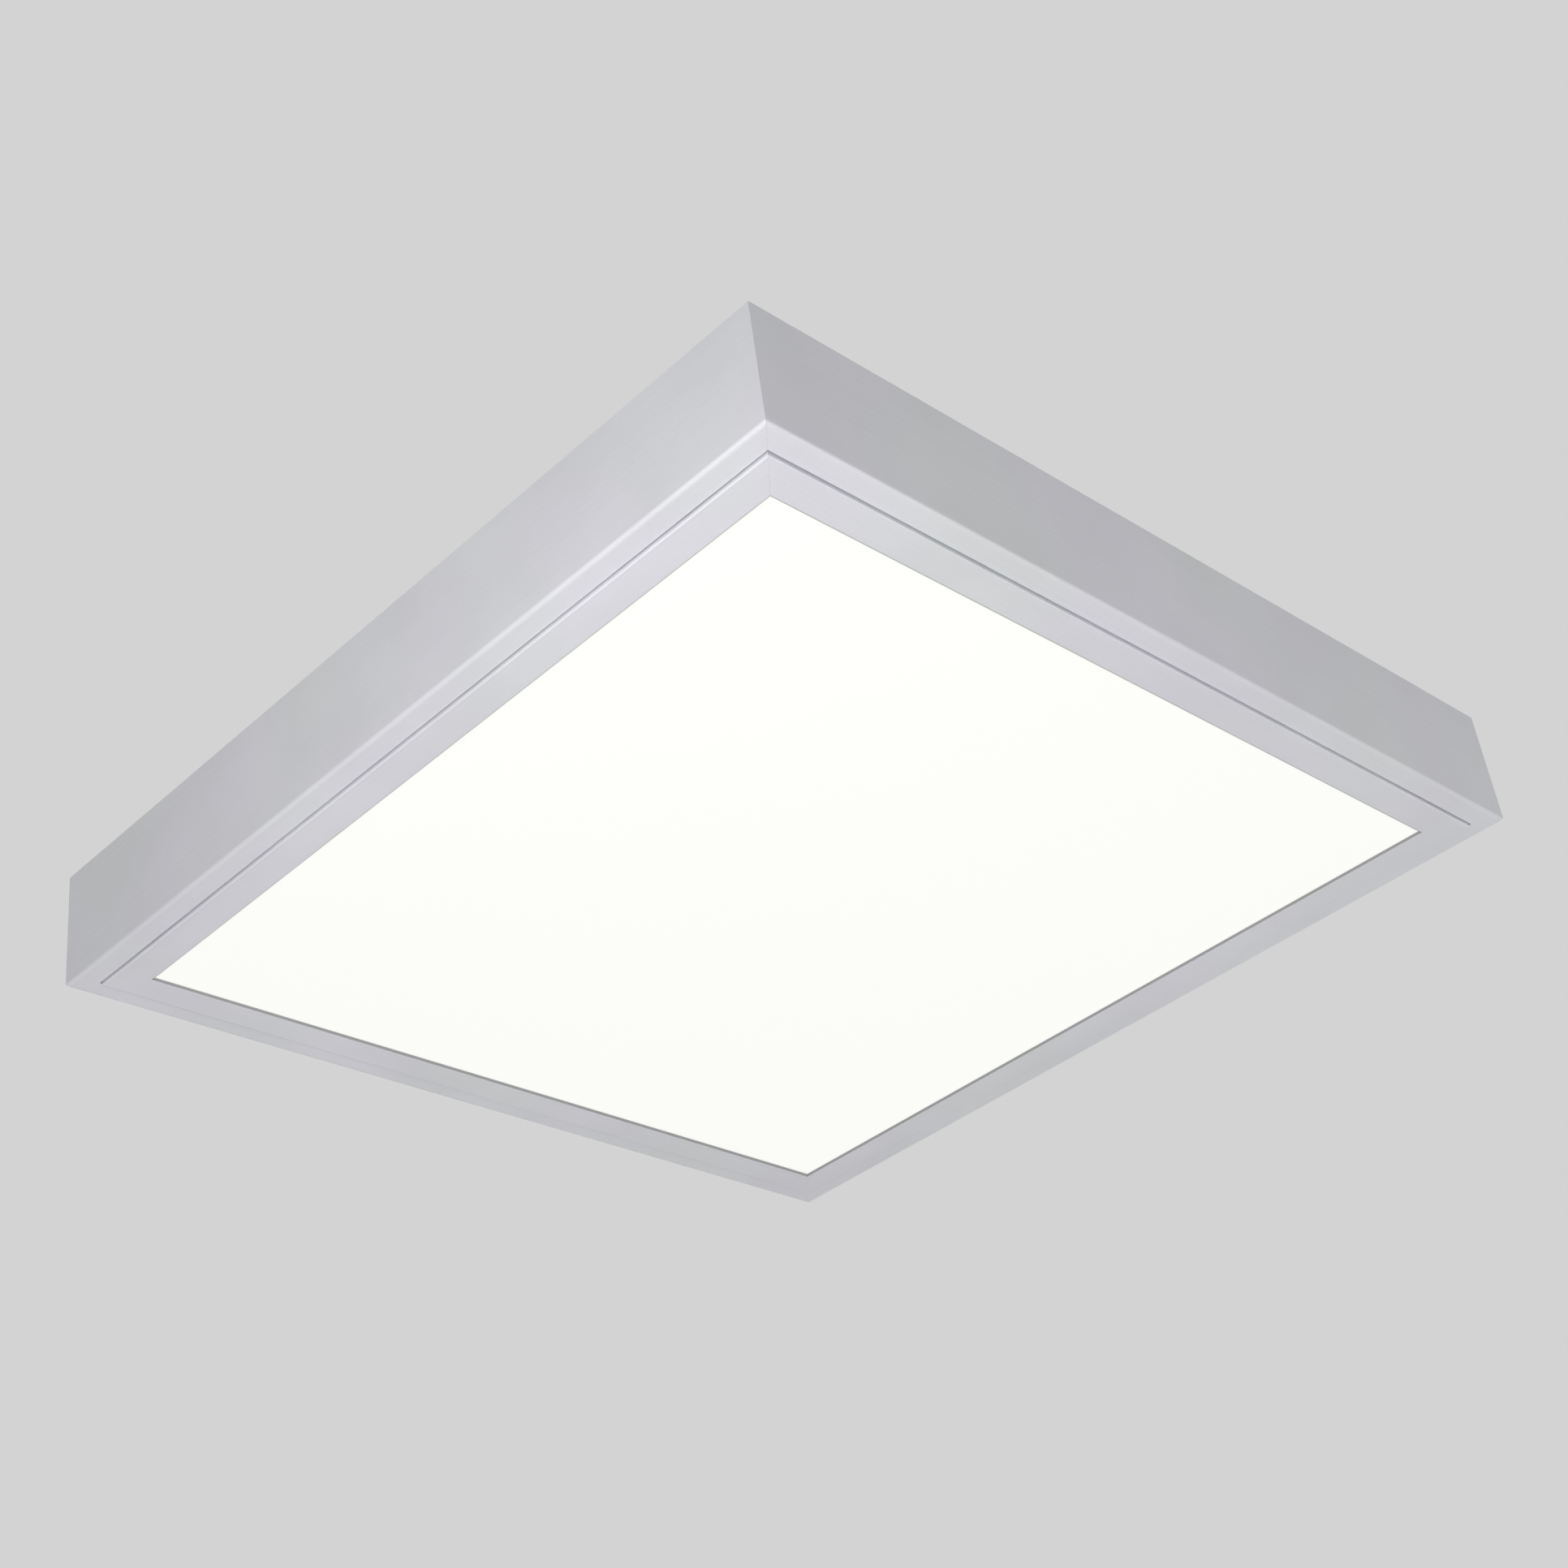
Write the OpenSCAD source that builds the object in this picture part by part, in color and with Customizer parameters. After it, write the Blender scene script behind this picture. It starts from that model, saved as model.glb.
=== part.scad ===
// Square surface mounted LED ceiling light. A deep aluminium housing of four mitred
// rails is fixed to the ceiling by its top flanges. An edge lit panel closes it from
// below and swings down on two concealed pins. Two spring catches hold it shut.
// Millimetres. Z = 0 is the ceiling, and the light hangs below it.

/* [Housing] */
// Outer side of the square housing
housing_w = 603; // [560:1:700]
// Height from the ceiling to the lip
housing_h = 75; // [72:1:110]
// Wall thickness of the housing rails
rail_t = 1.5; // [1.2:0.1:2]
// Width of the lip that is seen from below
lip_w = 14; // [13:0.5:20]
// Height of the stiffening bead along the lip
bead_h = 2.5; // [2:0.1:3]
// Width of the flange that lies against the ceiling
flange_w = 20; // [16:1:26]
// Radius of the outer lower edge
edge_r = 2.5; // [0.5:0.1:2.9]
// Distance between the two ceiling holes of one rail
ceiling_pitch = 400; // [200:10:440]
// Diameter of a ceiling hole
ceiling_hole_d = 5.5; // [4:0.5:6.5]

/* [Rail slots] */
// Clear height of a slot between its ribs
slot_h = 9; // [8.4:0.1:10]
// Clear depth of a slot behind its hooks
slot_d = 3; // [2.8:0.1:3.4]
// Thickness of the ribs and hooks of a slot
slot_rib = 1.2; // [1:0.1:1.4]
// How far each hook reaches over the slot
slot_hook = 2.2; // [1.8:0.1:2.4]
// Height of the lower slot's centre over the lip's underside
slot_low = 12; // [11.5:0.1:12.5]
// Depth of the upper slot's centre under the ceiling
slot_high = 13; // [11:0.5:16]
// Length of one leg of a corner bracket
bracket_leg = 42; // [30:1:55]

/* [Panel] */
// Open reveal between the lip and the panel frame
reveal = 1.2; // [1:0.05:1.6]
// How far the panel stands below the lip
proud = 2; // [1.5:0.1:2.4]
// Width of the panel frame's front face
face_w = 20.5; // [16:0.5:26]
// Thickness of the panel frame's front face
face_t = 1.4; // [1.2:0.1:1.6]
// Thickness of the panel frame's outer wall
bar_t = 1.6; // [1.3:0.1:1.8]
// Height of the panel frame bars
bar_h = 10.2; // [10:0.1:11]
// Width of the shelf that carries the back plate
shelf_w = 9; // [9:0.1:10]
// Thickness of the shelf
shelf_t = 1.3; // [1.1:0.1:1.4]
// Radius of the panel frame's outer front edge
bar_edge_r = 1; // [0.6:0.1:1.2]
// Thickness of the back plate
back_t = 0.6; // [0.5:0.1:1]
// Length cut off each corner of the back plate
corner_clip = 26; // [25:0.5:27]

/* [Light] */
// Thickness of the opal diffuser
diffuser_t = 1.5; // [1.2:0.1:1.6]
// Thickness of the light guide
guide_t = 3; // [2.6:0.1:3]
// Thickness of the reflector sheet
reflector_t = 0.25; // [0.2:0.05:0.3]
// Length of one LED board
board_l = 530; // [440:5:530]
// Number of LEDs on one board
led_count = 68; // [40:1:72]

/* [Hinge and catches] */
// Distance of the hinge pins from the panel's edge
hinge_inset = 50; // [46:1:52]
// Height of the pins over the back plate
hinge_rise = 4.2; // [4.1:0.05:4.5]
// Diameter of a hinge pin
pin_d = 4; // [3:0.2:4.2]
// Clearance all round a hinge pin in its bore
pin_play = 0.05; // [0.03:0.01:0.08]
// Distance between the two spring catches
catch_pitch = 360; // [200:10:400]
// Thickness of the catch springs
spring_t = 0.5; // [0.4:0.05:0.6]
// Width of a catch spring
spring_w = 16; // [12:1:20]

/* [Driver] */
// Length of the driver's case
driver_l = 190; // [180:1:200]
// Width of the driver's case
driver_w = 48; // [46:1:56]
// Height of the driver's case
driver_h = 30; // [29:1:34]
// Place of the driver's middle towards the hinge side
driver_x = 60; // [20:1:70]
// Sheet thickness of the driver's case
case_t = 0.9; // [0.7:0.1:1]
// Diameter of the low voltage lead
lead_d = 4.6; // [4:0.2:4.8]

/* [Hidden] */

$fn = 48;
eps = 0.01;

// The four sides, counted by quarter turns from the right side at -Y
SIDE_RIGHT = 0;
SIDE_HINGE = 1;
SIDE_LEFT = 2;
SIDE_CATCH = 3;

white_coat = "#d7d7dd";
bright_steel = "#b9bcc0";
zinc_grey = "#9aa0a6";
opal_white = "#fffffa";
black_nylon = "#2a2a2c";

// Clearances
joint_gap = 0.03;
screw_end_gap = 0.3;
slide_gap = 0.1;
thread_gap = 0.05;
edge_gap = 0.5;

// Heights of the housing
z_lip = -housing_h;
z_lip_top = z_lip + rail_t;
z_slot_low = z_lip + slot_low;
z_slot_high = -slot_high;
slot_face = rail_t + slot_d + slot_rib;

// Plan and heights of the panel
panel_w = housing_w - 2 * (lip_w + reveal);
z_face = z_lip - proud;
z_back = z_face + bar_h + back_t;
bead_t = 1.2;

// Key channel of the panel bars, under the shelf
channel_top = bar_h - shelf_t;
channel_h = 1.5;
channel_floor = channel_top - channel_h;
channel_lip = 1;
channel_w = shelf_w - channel_lip - bar_t;
rib_w = 0.9;
rib_t = 0.5;
face_chamfer = 0.8;
key_leg = 26;
key_screw_at = 16;
shelf_screw_s = 4.8;

// Stack of sheets behind the panel's face
z_diffuser = face_t;
z_guide = z_diffuser + diffuser_t;
z_reflector = z_guide + guide_t;
z_foam = z_reflector + reflector_t;
board_t = 1;
board_z = 1.6;
board_h = channel_floor - rib_t - 0.1 - board_z;
led_t = 0.8;
led_long = 4;
led_high = 1.4;
guide_x = panel_w - 2 * (bar_t + board_t + led_t + edge_gap);
guide_y = panel_w - 2 * (bar_t + edge_gap);
foam_w = panel_w - 2 * (shelf_w + edge_gap);

// Screws
screw_r = 1.45;
head_r = 2.4;
head_h = 1.7;
head_dome_r = 3.4;
cross_w = 0.8;
cross_l = 2.6;
cross_deep = 0.9;

// Hinge
hinge_x = panel_w / 2 - hinge_inset;
hinge_z = z_back + hinge_rise;
pin_r = pin_d / 2;
ear_t = 1.8;
ear_gap = 0.2;
ear_r = 5.2;
pivot_base_t = 2;
pivot_base_w = 28;
pivot_base_d = 22;
pivot_corner = 3;
pivot_screw_x = 9;
ear_out = lip_w + reveal + ear_gap;
collar_l = 1.8;
collar_r = 3.1;
spigot_r = 1.5;
rivet_h = 0.7;
hub_r = 4.4;
hub_in = ear_out - collar_l - ear_gap;
block_w = 44;
block_t = 3;
block_screw_x = 14;
block_h = slot_h + 2 * slot_rib;
block_corner = 2;
gusset = 6;
gusset_t = 2;
gusset_short = 1;

// Stops for the closed panel
stop_from_corner = 69.5;
stop_pitch = housing_w - 2 * stop_from_corner;
stop_t = 2.5;
stop_w = 26;
stop_arm_w = 8;
stop_arm_h = 5;
stop_tip_h = 3;
stop_gap = 0.3;
stop_reach = lip_w + reveal + 6;

// Catches
striker_t = 1.2;
striker_bend = 0.6;
striker_w = 18;
striker_h = 11.4;
striker_riser = 2.2;
striker_tab = 0.2;
striker_base = 14;
striker_screw_s = 6.4;
u_tab = lip_w + reveal + striker_tab;
u_riser = lip_w + reveal + striker_riser;
z_tab = z_back + striker_h - striker_t;
spring_gap = 0.35;

// Driver
z_case = z_back;
case_wall = 9;
pcb_t = 1.6;
pcb_gap = 3.5;
pcb_w = driver_w - 2 * case_t - 3;
pcb_l = driver_l - 2 * case_t - 4;
z_pcb = z_case + case_t + pcb_gap;
z_parts = z_pcb + pcb_t;
terminal_l = 24;
terminal_w = 26;
terminal_h = 15;
terminal_out = 13;
terminal_step = 9;
pole_pitch = 8;
ear_l = terminal_out + 9;
ear_w = 38;
ear_corner = 4;
fixing_x = 12;
fixing_in = 5;
fixing_end = 2;
foam_hole_r = 3.5;

// Low voltage lead, as points on the back plate
lead_r = lead_d / 2;
lead_z = z_back + 6;
plug_l = 26;
plug_w = 12;
socket_l = 30;
socket_w = 13;
boot_l = 28;
boot_w = 16;
boot_h = 11;
boot_neck = 6;
boot_r = 2.5;
boot_inset = 71.3;
bush_l = 16;
lead_out = 50;
lead_drop = 50;
lead_run_y = -driver_l / 2 - lead_out;
boot_x = -panel_w / 2 + boot_inset;
boot_y = lead_run_y + lead_drop;
lead_drop_x = boot_x + lead_drop;
lead_turn = 18;
plug_x = -60;

// Places an item drawn for the right side on any of the four sides of the housing.
// There X runs along the side, Y runs inwards from the outer face.
module housing_side(k) rotate([0, 0, 90 * k]) translate([0, -housing_w / 2, 0]) children();

// The same for the panel, with Z = 0 at the panel's face
module panel_side(k) rotate([0, 0, 90 * k]) translate([0, -panel_w / 2, z_face]) children();

// Extrudes an outline given as depth and height along X
module along_x(length) rotate([90, 0, 90]) linear_extrude(height = length, center = true) children();

// Plan of a bar with mitred ends
module mitred(width, depth, low, high)
    translate([0, 0, low])
        linear_extrude(height = high - low)
            polygon([
                [-width / 2 + joint_gap, 0],
                [width / 2 - joint_gap, 0],
                [width / 2 - joint_gap - depth, depth],
                [-width / 2 + joint_gap + depth, depth]
            ]);

// What a round edge of radius r takes off the corner at the origin
module edge_cut(r) difference() {
    translate([-1, -1]) square(r + 1);
    translate([r, r]) circle(r);
}

// Plate about the middle with round corners
module rounded_plate(w, l, r) union() {
    square([w - 2 * r, l], center = true);
    square([w, l - 2 * r], center = true);
    for (x = [-1, 1] * (w / 2 - r), y = [-1, 1] * (l / 2 - r)) translate([x, y]) circle(r);
}

// Extrudes an outline given as depth and height from X = 0 onwards
module from_x(length) rotate([90, 0, 90]) linear_extrude(height = length) children();

// Fillet that fills the corner at the origin
module inner_fillet(r) difference() {
    square(r);
    translate([r, r]) circle(r);
}

module slot_outline(z) {
    for (s = [-1, 1]) {
        edge = z + s * slot_h / 2;
        rib_low = s > 0 ? edge : edge - slot_rib;
        hook_low = s > 0 ? edge - slot_hook : edge - slot_rib;
        translate([rail_t - eps, rib_low]) square([slot_d + slot_rib + eps, slot_rib]);
        translate([rail_t + slot_d, hook_low]) square([slot_rib, slot_hook + slot_rib]);
    }
}

module rail_outline() difference() {
    union() {
        translate([0, z_lip]) square([rail_t, housing_h]);
        translate([0, z_lip]) square([lip_w, rail_t]);
        translate([lip_w - bead_t, z_lip]) square([bead_t, bead_h]);
        translate([0, -rail_t]) square([flange_w, rail_t]);
        translate([rail_t - eps, z_lip_top - eps]) inner_fillet(edge_r);
        slot_outline(z_slot_low);
        slot_outline(z_slot_high);
    }
    translate([0, z_lip]) edge_cut(edge_r);
}

module rail(k) color(white_coat) housing_side(k) difference() {
    intersection() {
        along_x(housing_w) rail_outline();
        mitred(housing_w, flange_w + 1, z_lip - 1, 1);
    }
    for (x = [-1, 1] * ceiling_pitch / 2)
        translate([x, (rail_t + flange_w) / 2, -rail_t - 1]) cylinder(d = ceiling_hole_d, h = rail_t + 2);
}

// Corner brackets slide in the slots and are clamped by grub screws
grub_r = 1.9;
grub_out = 1.8;
grub_hex_r = 1;
grub_at = 24;
bracket_h = slot_h - 2 * slide_gap;
bracket_t = slot_d - 2 * slide_gap;
bracket_u = rail_t + slot_d - bracket_t;

module corner_bracket(z) difference() {
    corner = housing_w / 2 - bracket_u;
    translate([0, 0, z - bracket_h / 2]) linear_extrude(height = bracket_h) polygon([
        [corner, -corner],
        [corner, -corner + bracket_leg],
        [corner - bracket_t, -corner + bracket_leg],
        [corner - bracket_t, -corner + bracket_t],
        [corner - bracket_leg, -corner + bracket_t],
        [corner - bracket_leg, -corner]
    ]);
    for (k = [0, 1]) housing_corner_hole(k)
        translate([0, 0, z]) rotate([-90, 0, 0]) cylinder(r = grub_r + thread_gap, h = slot_face + 1);
}

// Places an item where a grub screw stands on one leg of the first corner
module housing_corner_hole(k) housing_side(k)
    translate([(k == 0 ? 1 : -1) * (housing_w / 2 - grub_at), 0, 0]) children();

module corner_brackets(z) color(bright_steel)
    for (c = [0:3]) rotate([0, 0, 90 * c]) corner_bracket(z);

module grub_screw() difference() {
    cylinder(r = grub_r, h = slot_d + grub_out);
    translate([0, 0, slot_d]) cylinder(r = grub_hex_r, h = grub_out + 1, $fn = 6);
}

module corner_grub_screws() color(zinc_grey)
    for (c = [0:3], k = [0, 1], z = [z_slot_low, z_slot_high])
        rotate([0, 0, 90 * c]) housing_corner_hole(k)
            translate([0, rail_t, z]) rotate([-90, 0, 0]) grub_screw();

// Screw with a domed cross head. Its head sits on Z = 0 and its shank points down.
module cross_screw(shank) difference() {
    union() {
        translate([0, 0, -shank]) cylinder(r = screw_r, h = shank + eps);
        intersection() {
            cylinder(r = head_r, h = head_h);
            translate([0, 0, head_h - head_dome_r]) sphere(r = head_dome_r);
        }
    }
    for (a = [0, 90]) rotate([0, 0, a])
        translate([-cross_l / 2, -cross_w / 2, head_h - cross_deep]) cube([cross_l, cross_w, 2]);
}

module screw_hole(length) translate([0, 0, -length / 2]) cylinder(r = screw_r + thread_gap, h = length);

// Slot nuts and screws, listed as side, place along it, and thickness clamped
SLOT_FIXINGS = [
    for (x = [-1, 1] * block_screw_x) [SIDE_RIGHT, hinge_x + x, block_t],
    for (x = [-1, 1] * block_screw_x) [SIDE_LEFT, -hinge_x + x, block_t],
    for (x = [-1, 1] * catch_pitch / 2) [SIDE_CATCH, x, spring_t],
    for (x = [-1, 1] * stop_pitch / 2) [SIDE_CATCH, x, stop_t]
];
nut_t = 2.4;
nut_l = 12;

module slot_nut() difference() {
    translate([-nut_l / 2, slot_d + rail_t - nut_t, z_slot_low - slot_h / 2 + slide_gap])
        cube([nut_l, nut_t, slot_h - 2 * slide_gap]);
    translate([0, rail_t, z_slot_low]) rotate([-90, 0, 0]) screw_hole(2 * slot_d + 2);
}

module slot_nuts() color(zinc_grey)
    for (f = SLOT_FIXINGS) housing_side(f[0]) translate([f[1], 0, 0]) slot_nut();

module slot_screws() color(bright_steel)
    for (f = SLOT_FIXINGS) housing_side(f[0])
        translate([f[1], slot_face + f[2], z_slot_low]) rotate([-90, 0, 0])
            cross_screw(slot_face + f[2] - rail_t - screw_end_gap);

// Plate of length w and thickness t that is screwed on the lower slot
module slot_plate(w, t) translate([0, slot_face, z_slot_low]) rotate([-90, 0, 0])
    linear_extrude(height = t) rounded_plate(w, block_h, block_corner);

// Bearing block for one hinge pin, drawn at X = 0 in the frame of its side
module hinge_block_shape() difference() {
    union() {
        slot_plate(block_w, block_t);
        translate([0, slot_face, hinge_z]) rotate([-90, 0, 0]) cylinder(r = hub_r, h = hub_in - slot_face);
        translate([0, 0, hinge_z - gusset_t / 2]) linear_extrude(height = gusset_t) polygon([
            [-hub_r - gusset, slot_face],
            [hub_r + gusset, slot_face],
            [hub_r - eps, hub_in - gusset_short],
            [-hub_r + eps, hub_in - gusset_short]
        ]);
    }
    translate([0, 0, hinge_z]) rotate([-90, 0, 0]) cylinder(r = pin_r + pin_play, h = hub_in + 1);
    for (x = [-1, 1] * block_screw_x)
        translate([x, slot_face, z_slot_low]) rotate([-90, 0, 0]) screw_hole(2 * block_t + 1);
}

module hinge_block(k) color(zinc_grey) housing_side(k)
    translate([k == SIDE_RIGHT ? hinge_x : -hinge_x, 0, 0])
        mirror([k == SIDE_RIGHT ? 0 : 1, 0, 0]) hinge_block_shape();

// Stops that the panel's back plate meets when it is closed
module panel_stops() color(black_nylon) housing_side(SIDE_CATCH)
    for (s = [-1, 1]) translate([s * stop_pitch / 2, 0, 0]) difference() {
        union() {
            slot_plate(stop_w, stop_t);
            translate([s * (stop_arm_w - stop_w) / 2, 0, z_back + stop_gap]) along_x(stop_arm_w) polygon([
                [slot_face, 0],
                [stop_reach, 0],
                [stop_reach, stop_tip_h],
                [slot_face, stop_arm_h]
            ]);
        }
        translate([0, slot_face, z_slot_low]) rotate([-90, 0, 0]) screw_hole(2 * stop_t + 1);
    }

// Outline of a bent strip of thickness t along a list of points
function unit(v) = v / norm(v);
function left_of(v) = [-v[1], v[0]];
function strip_normal(p, i) =
    let (n = len(p))
    let (a = i > 0 ? left_of(unit(p[i] - p[i - 1])) : left_of(unit(p[1] - p[0])))
    let (b = i < n - 1 ? left_of(unit(p[i + 1] - p[i])) : a)
    (a + b) / (1 + a * b);
function strip_outline(p, t) = concat(
    [for (i = [0:len(p) - 1]) p[i] + strip_normal(p, i) * t / 2],
    [for (i = [len(p) - 1:-1:0]) p[i] - strip_normal(p, i) * t / 2]
);

// Points of a route with rounded corners of radius r, in steps of 15 degrees
function round_corner(a, b, c, r) =
    let (u = unit(a - b), v = unit(c - b), h = acos(u * v) / 2, m = unit(u + v))
    let (centre = b + m * r / sin(h), start = b + u * r / tan(h), stop = b + v * r / tan(h))
    let (e = unit(start - centre), g = stop - centre, span = 180 - 2 * h, f = unit(g - e * (g * e)))
    [for (t = [0:span / ceil(span / 15):span + 0.01]) centre + r * (cos(t) * e + sin(t) * f)];
function rounded_route(p, r) = concat(
    [p[0]],
    [for (i = [1:len(p) - 2]) each round_corner(p[i - 1], p[i], p[i + 1], r)],
    [p[len(p) - 1]]
);

// Catch spring: base on the slot, a bend at the top, and a nose under the striker's tab
bend_r = 1.7;
u_base = slot_face + spring_t / 2;
z_bend = z_tab + 13;
spring_foot = 7;
nose_u = u_riser - spring_gap - spring_t;
nose_top = [u_tab - 0.9, z_tab - spring_gap];
nose_drop = nose_u - nose_top[0];
nose_tail = 4;
nose_bend = 0.6;
spring_path = concat(
    [[u_base, z_slot_low - spring_foot]],
    [for (a = [180:-15:15]) [u_base + bend_r + bend_r * cos(a), z_bend + bend_r * sin(a)]],
    rounded_route([
        [u_base + 2 * bend_r, z_bend],
        nose_top,
        [nose_u, nose_top[1] - nose_drop],
        [nose_u - nose_tail, nose_top[1] - nose_drop - nose_tail]
    ], nose_bend)
);

module catch_spring(side) color(bright_steel) housing_side(SIDE_CATCH)
    translate([side * catch_pitch / 2, 0, 0]) difference() {
        along_x(spring_w) polygon(strip_outline(spring_path, spring_t));
        translate([0, slot_face, z_slot_low]) rotate([-90, 0, 0]) screw_hole(2 * spring_t + 1);
    }

// Bar of the panel frame
module bar_outline() difference() {
    union() {
        square([face_w, face_t]);
        square([bar_t, bar_h]);
        translate([0, channel_top]) square([shelf_w, shelf_t]);
        translate([shelf_w - channel_lip, channel_floor]) square([channel_lip, bar_h - channel_floor]);
        translate([bar_t - eps, channel_floor - rib_t]) square([rib_w + eps, rib_t]);
    }
    edge_cut(bar_edge_r);
    translate([face_w, 0]) rotate(45) square(face_chamfer, center = true);
}

// Screws that hold the back plate, as places along each side
back_screw_pitch = panel_w / 4.1;
back_screw_x = [-1.5, -0.5, 0.5, 1.5] * back_screw_pitch;

// Shelf screws of one side, given as place along it and distance from the outer face
function side_holes(k) = concat(
    [for (x = back_screw_x) [x, shelf_screw_s]],
    [for (x = [-1, 1] * (panel_w / 2 - key_screw_at)) [x, shelf_screw_s]],
    k == SIDE_RIGHT ? [for (x = [-1, 1] * pivot_screw_x) [hinge_x + x, shelf_screw_s]] : [],
    k == SIDE_LEFT ? [for (x = [-1, 1] * pivot_screw_x) [-hinge_x + x, shelf_screw_s]] : [],
    k == SIDE_CATCH ? [for (x = [-1, 1] * catch_pitch / 2) [x, striker_screw_s]] : []
);

module panel_bar(k) color(white_coat) panel_side(k) difference() {
    intersection() {
        along_x(panel_w) bar_outline();
        mitred(panel_w, face_w + 1, -1, bar_h + 1);
    }
    for (h = side_holes(k)) translate([h[0], h[1], channel_top]) screw_hole(2 * shelf_t + 1);
}

module panel_corner_key() {
    corner = panel_w / 2 - bar_t - slide_gap;
    key_w = channel_w - 2 * slide_gap;
    difference() {
        translate([0, 0, z_face + channel_floor + slide_gap])
            linear_extrude(height = channel_h - slide_gap) polygon([
                [corner, -corner],
                [corner, -corner + key_leg],
                [corner - key_w, -corner + key_leg],
                [corner - key_w, -corner + key_w],
                [corner - key_leg, -corner + key_w],
                [corner - key_leg, -corner]
            ]);
        for (k = [0, 1]) panel_side(k)
            translate([(k == 0 ? 1 : -1) * (panel_w / 2 - key_screw_at), shelf_screw_s, channel_floor])
                screw_hole(2 * channel_h + 2);
    }
}

module panel_corner_keys() color(bright_steel)
    for (c = [0:3]) rotate([0, 0, 90 * c]) panel_corner_key();

module panel_corner_screws() color(zinc_grey)
    for (k = [0:3], x = [-1, 1] * (panel_w / 2 - key_screw_at)) panel_side(k)
        translate([x, shelf_screw_s, bar_h]) cross_screw(shelf_shank(0));

module sheet_layer(x, y, z, t) translate([-x / 2, -y / 2, z_face + z]) cube([x, y, t]);

module diffuser() color(opal_white) sheet_layer(guide_x, guide_y, z_diffuser, diffuser_t);
module light_guide() color("#e8f4f2", 0.6) sheet_layer(guide_x, guide_y, z_guide, guide_t);
module reflector() color("#fafafa") sheet_layer(guide_x, guide_y, z_reflector, reflector_t);

// The foam presses the sheets forward. It leaves room for the wires and screw ends.
wire_groove = 5;
feed_notch_w = 12;

module foam_pad() color("#f2f2f0") difference() {
    sheet_layer(foam_w, foam_w, z_foam, bar_h - z_foam);
    translate([-panel_w / 2, -panel_w / 2, z_face])
        cube([panel_w, shelf_w + edge_gap + wire_groove, bar_h + 1]);
    translate([-panel_w / 2, boot_y - feed_notch_w / 2, z_face])
        cube([panel_w / 2 + boot_x + feed_notch_w / 2, feed_notch_w, bar_h + 1]);
    for (p = driver_fixings) translate([driver_x + p[0], p[1], z_face])
        cylinder(r = foam_hole_r, h = bar_h + 1);
}

// Back plate with clipped corners and pressed ribs
swage_at = 46;
swage_w = 12;
swage_h = 1.5;

module swage_bar(grow, base) {
    half = panel_w / 2 - swage_at;
    reach = swage_w / 2 + grow;
    translate([0, swage_at, bar_h]) intersection() {
        along_x(2 * (half + reach)) polygon([
            [-reach, base],
            [reach, base],
            [reach - swage_h - base, swage_h + grow],
            [-reach + swage_h + base, swage_h + grow]
        ]);
        translate([0, 0, -1]) linear_extrude(height = swage_h + grow + 2) polygon([
            [-half - reach, -reach],
            [half + reach, -reach],
            [half - reach, reach],
            [-half + reach, reach]
        ]);
    }
}

plate_margin = 0.4;
module back_plate() color("#e4e4e6") difference() {
    c = panel_w / 2 - plate_margin;
    k = corner_clip - plate_margin;
    union() {
        translate([0, 0, z_face + bar_h]) linear_extrude(height = back_t) polygon([
            [-c + k, -c], [c - k, -c], [c, -c + k], [c, c - k],
            [c - k, c], [-c + k, c], [-c, c - k], [-c, -c + k]
        ]);
        for (side = [0:3]) panel_side(side) swage_bar(back_t, back_t / 2);
    }
    for (side = [0:3]) panel_side(side) swage_bar(0, -eps);
    for (side = [0:3]) panel_side(side) for (h = side_holes(side))
        translate([h[0], h[1], bar_h]) screw_hole(2 * back_t + 1);
    translate([boot_x, boot_y, z_back]) cylinder(r = boot_hole_r, h = 4 * back_t, center = true);
    for (p = driver_fixings) translate([driver_x + p[0], p[1], z_back]) screw_hole(4 * back_t);
}

// Length of a screw whose head sits t above the shelves' upper faces
function shelf_shank(t) = t + bar_h - channel_floor - screw_end_gap;

module back_plate_screws() color(zinc_grey)
    for (k = [0:3], x = back_screw_x) panel_side(k)
        translate([x, shelf_screw_s, bar_h + back_t]) cross_screw(shelf_shank(back_t));

// LED boards and LEDs
module led_board(k) color("#f4f4f2") panel_side(k)
    translate([-board_l / 2, bar_t, board_z]) cube([board_l, board_t, board_h]);

led_pitch = board_l / led_count;
module leds(k) color("#f6d95a") panel_side(k)
    for (i = [0:led_count - 1])
        translate([(i + 0.5 - led_count / 2) * led_pitch - led_long / 2, bar_t + board_t,
            z_guide + guide_t / 2 - led_high / 2])
            cube([led_long, led_t, led_high]);

// Pivot bracket on the back plate, drawn at X = 0 in the frame of the panel's side
module pivot_bracket_shape() difference() {
    union() {
        translate([0, ear_gap + pivot_base_d / 2, bar_h + back_t])
            linear_extrude(height = pivot_base_t) rounded_plate(pivot_base_w, pivot_base_d, pivot_corner);
        translate([0, ear_gap, bar_h + back_t + hinge_rise]) rotate([-90, 0, 0])
            cylinder(r = ear_r, h = ear_t);
        translate([-ear_r, ear_gap, bar_h + back_t]) cube([2 * ear_r, ear_t, hinge_rise]);
    }
    translate([0, -1, bar_h + back_t + hinge_rise]) rotate([-90, 0, 0])
        cylinder(r = spigot_r + thread_gap, h = ear_t + 2);
    translate([-ear_r - 1, -1, bar_h + back_t - ear_r]) cube([2 * ear_r + 2, ear_t + 2, ear_r]);
    for (x = [-1, 1] * pivot_screw_x) translate([x, shelf_screw_s, bar_h])
        screw_hole(2 * (back_t + pivot_base_t) + 1);
}

module at_pivot(k) panel_side(k) translate([k == SIDE_RIGHT ? hinge_x : -hinge_x, 0, 0]) children();

module pivot_bracket(k) color(bright_steel) at_pivot(k) pivot_bracket_shape();

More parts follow.
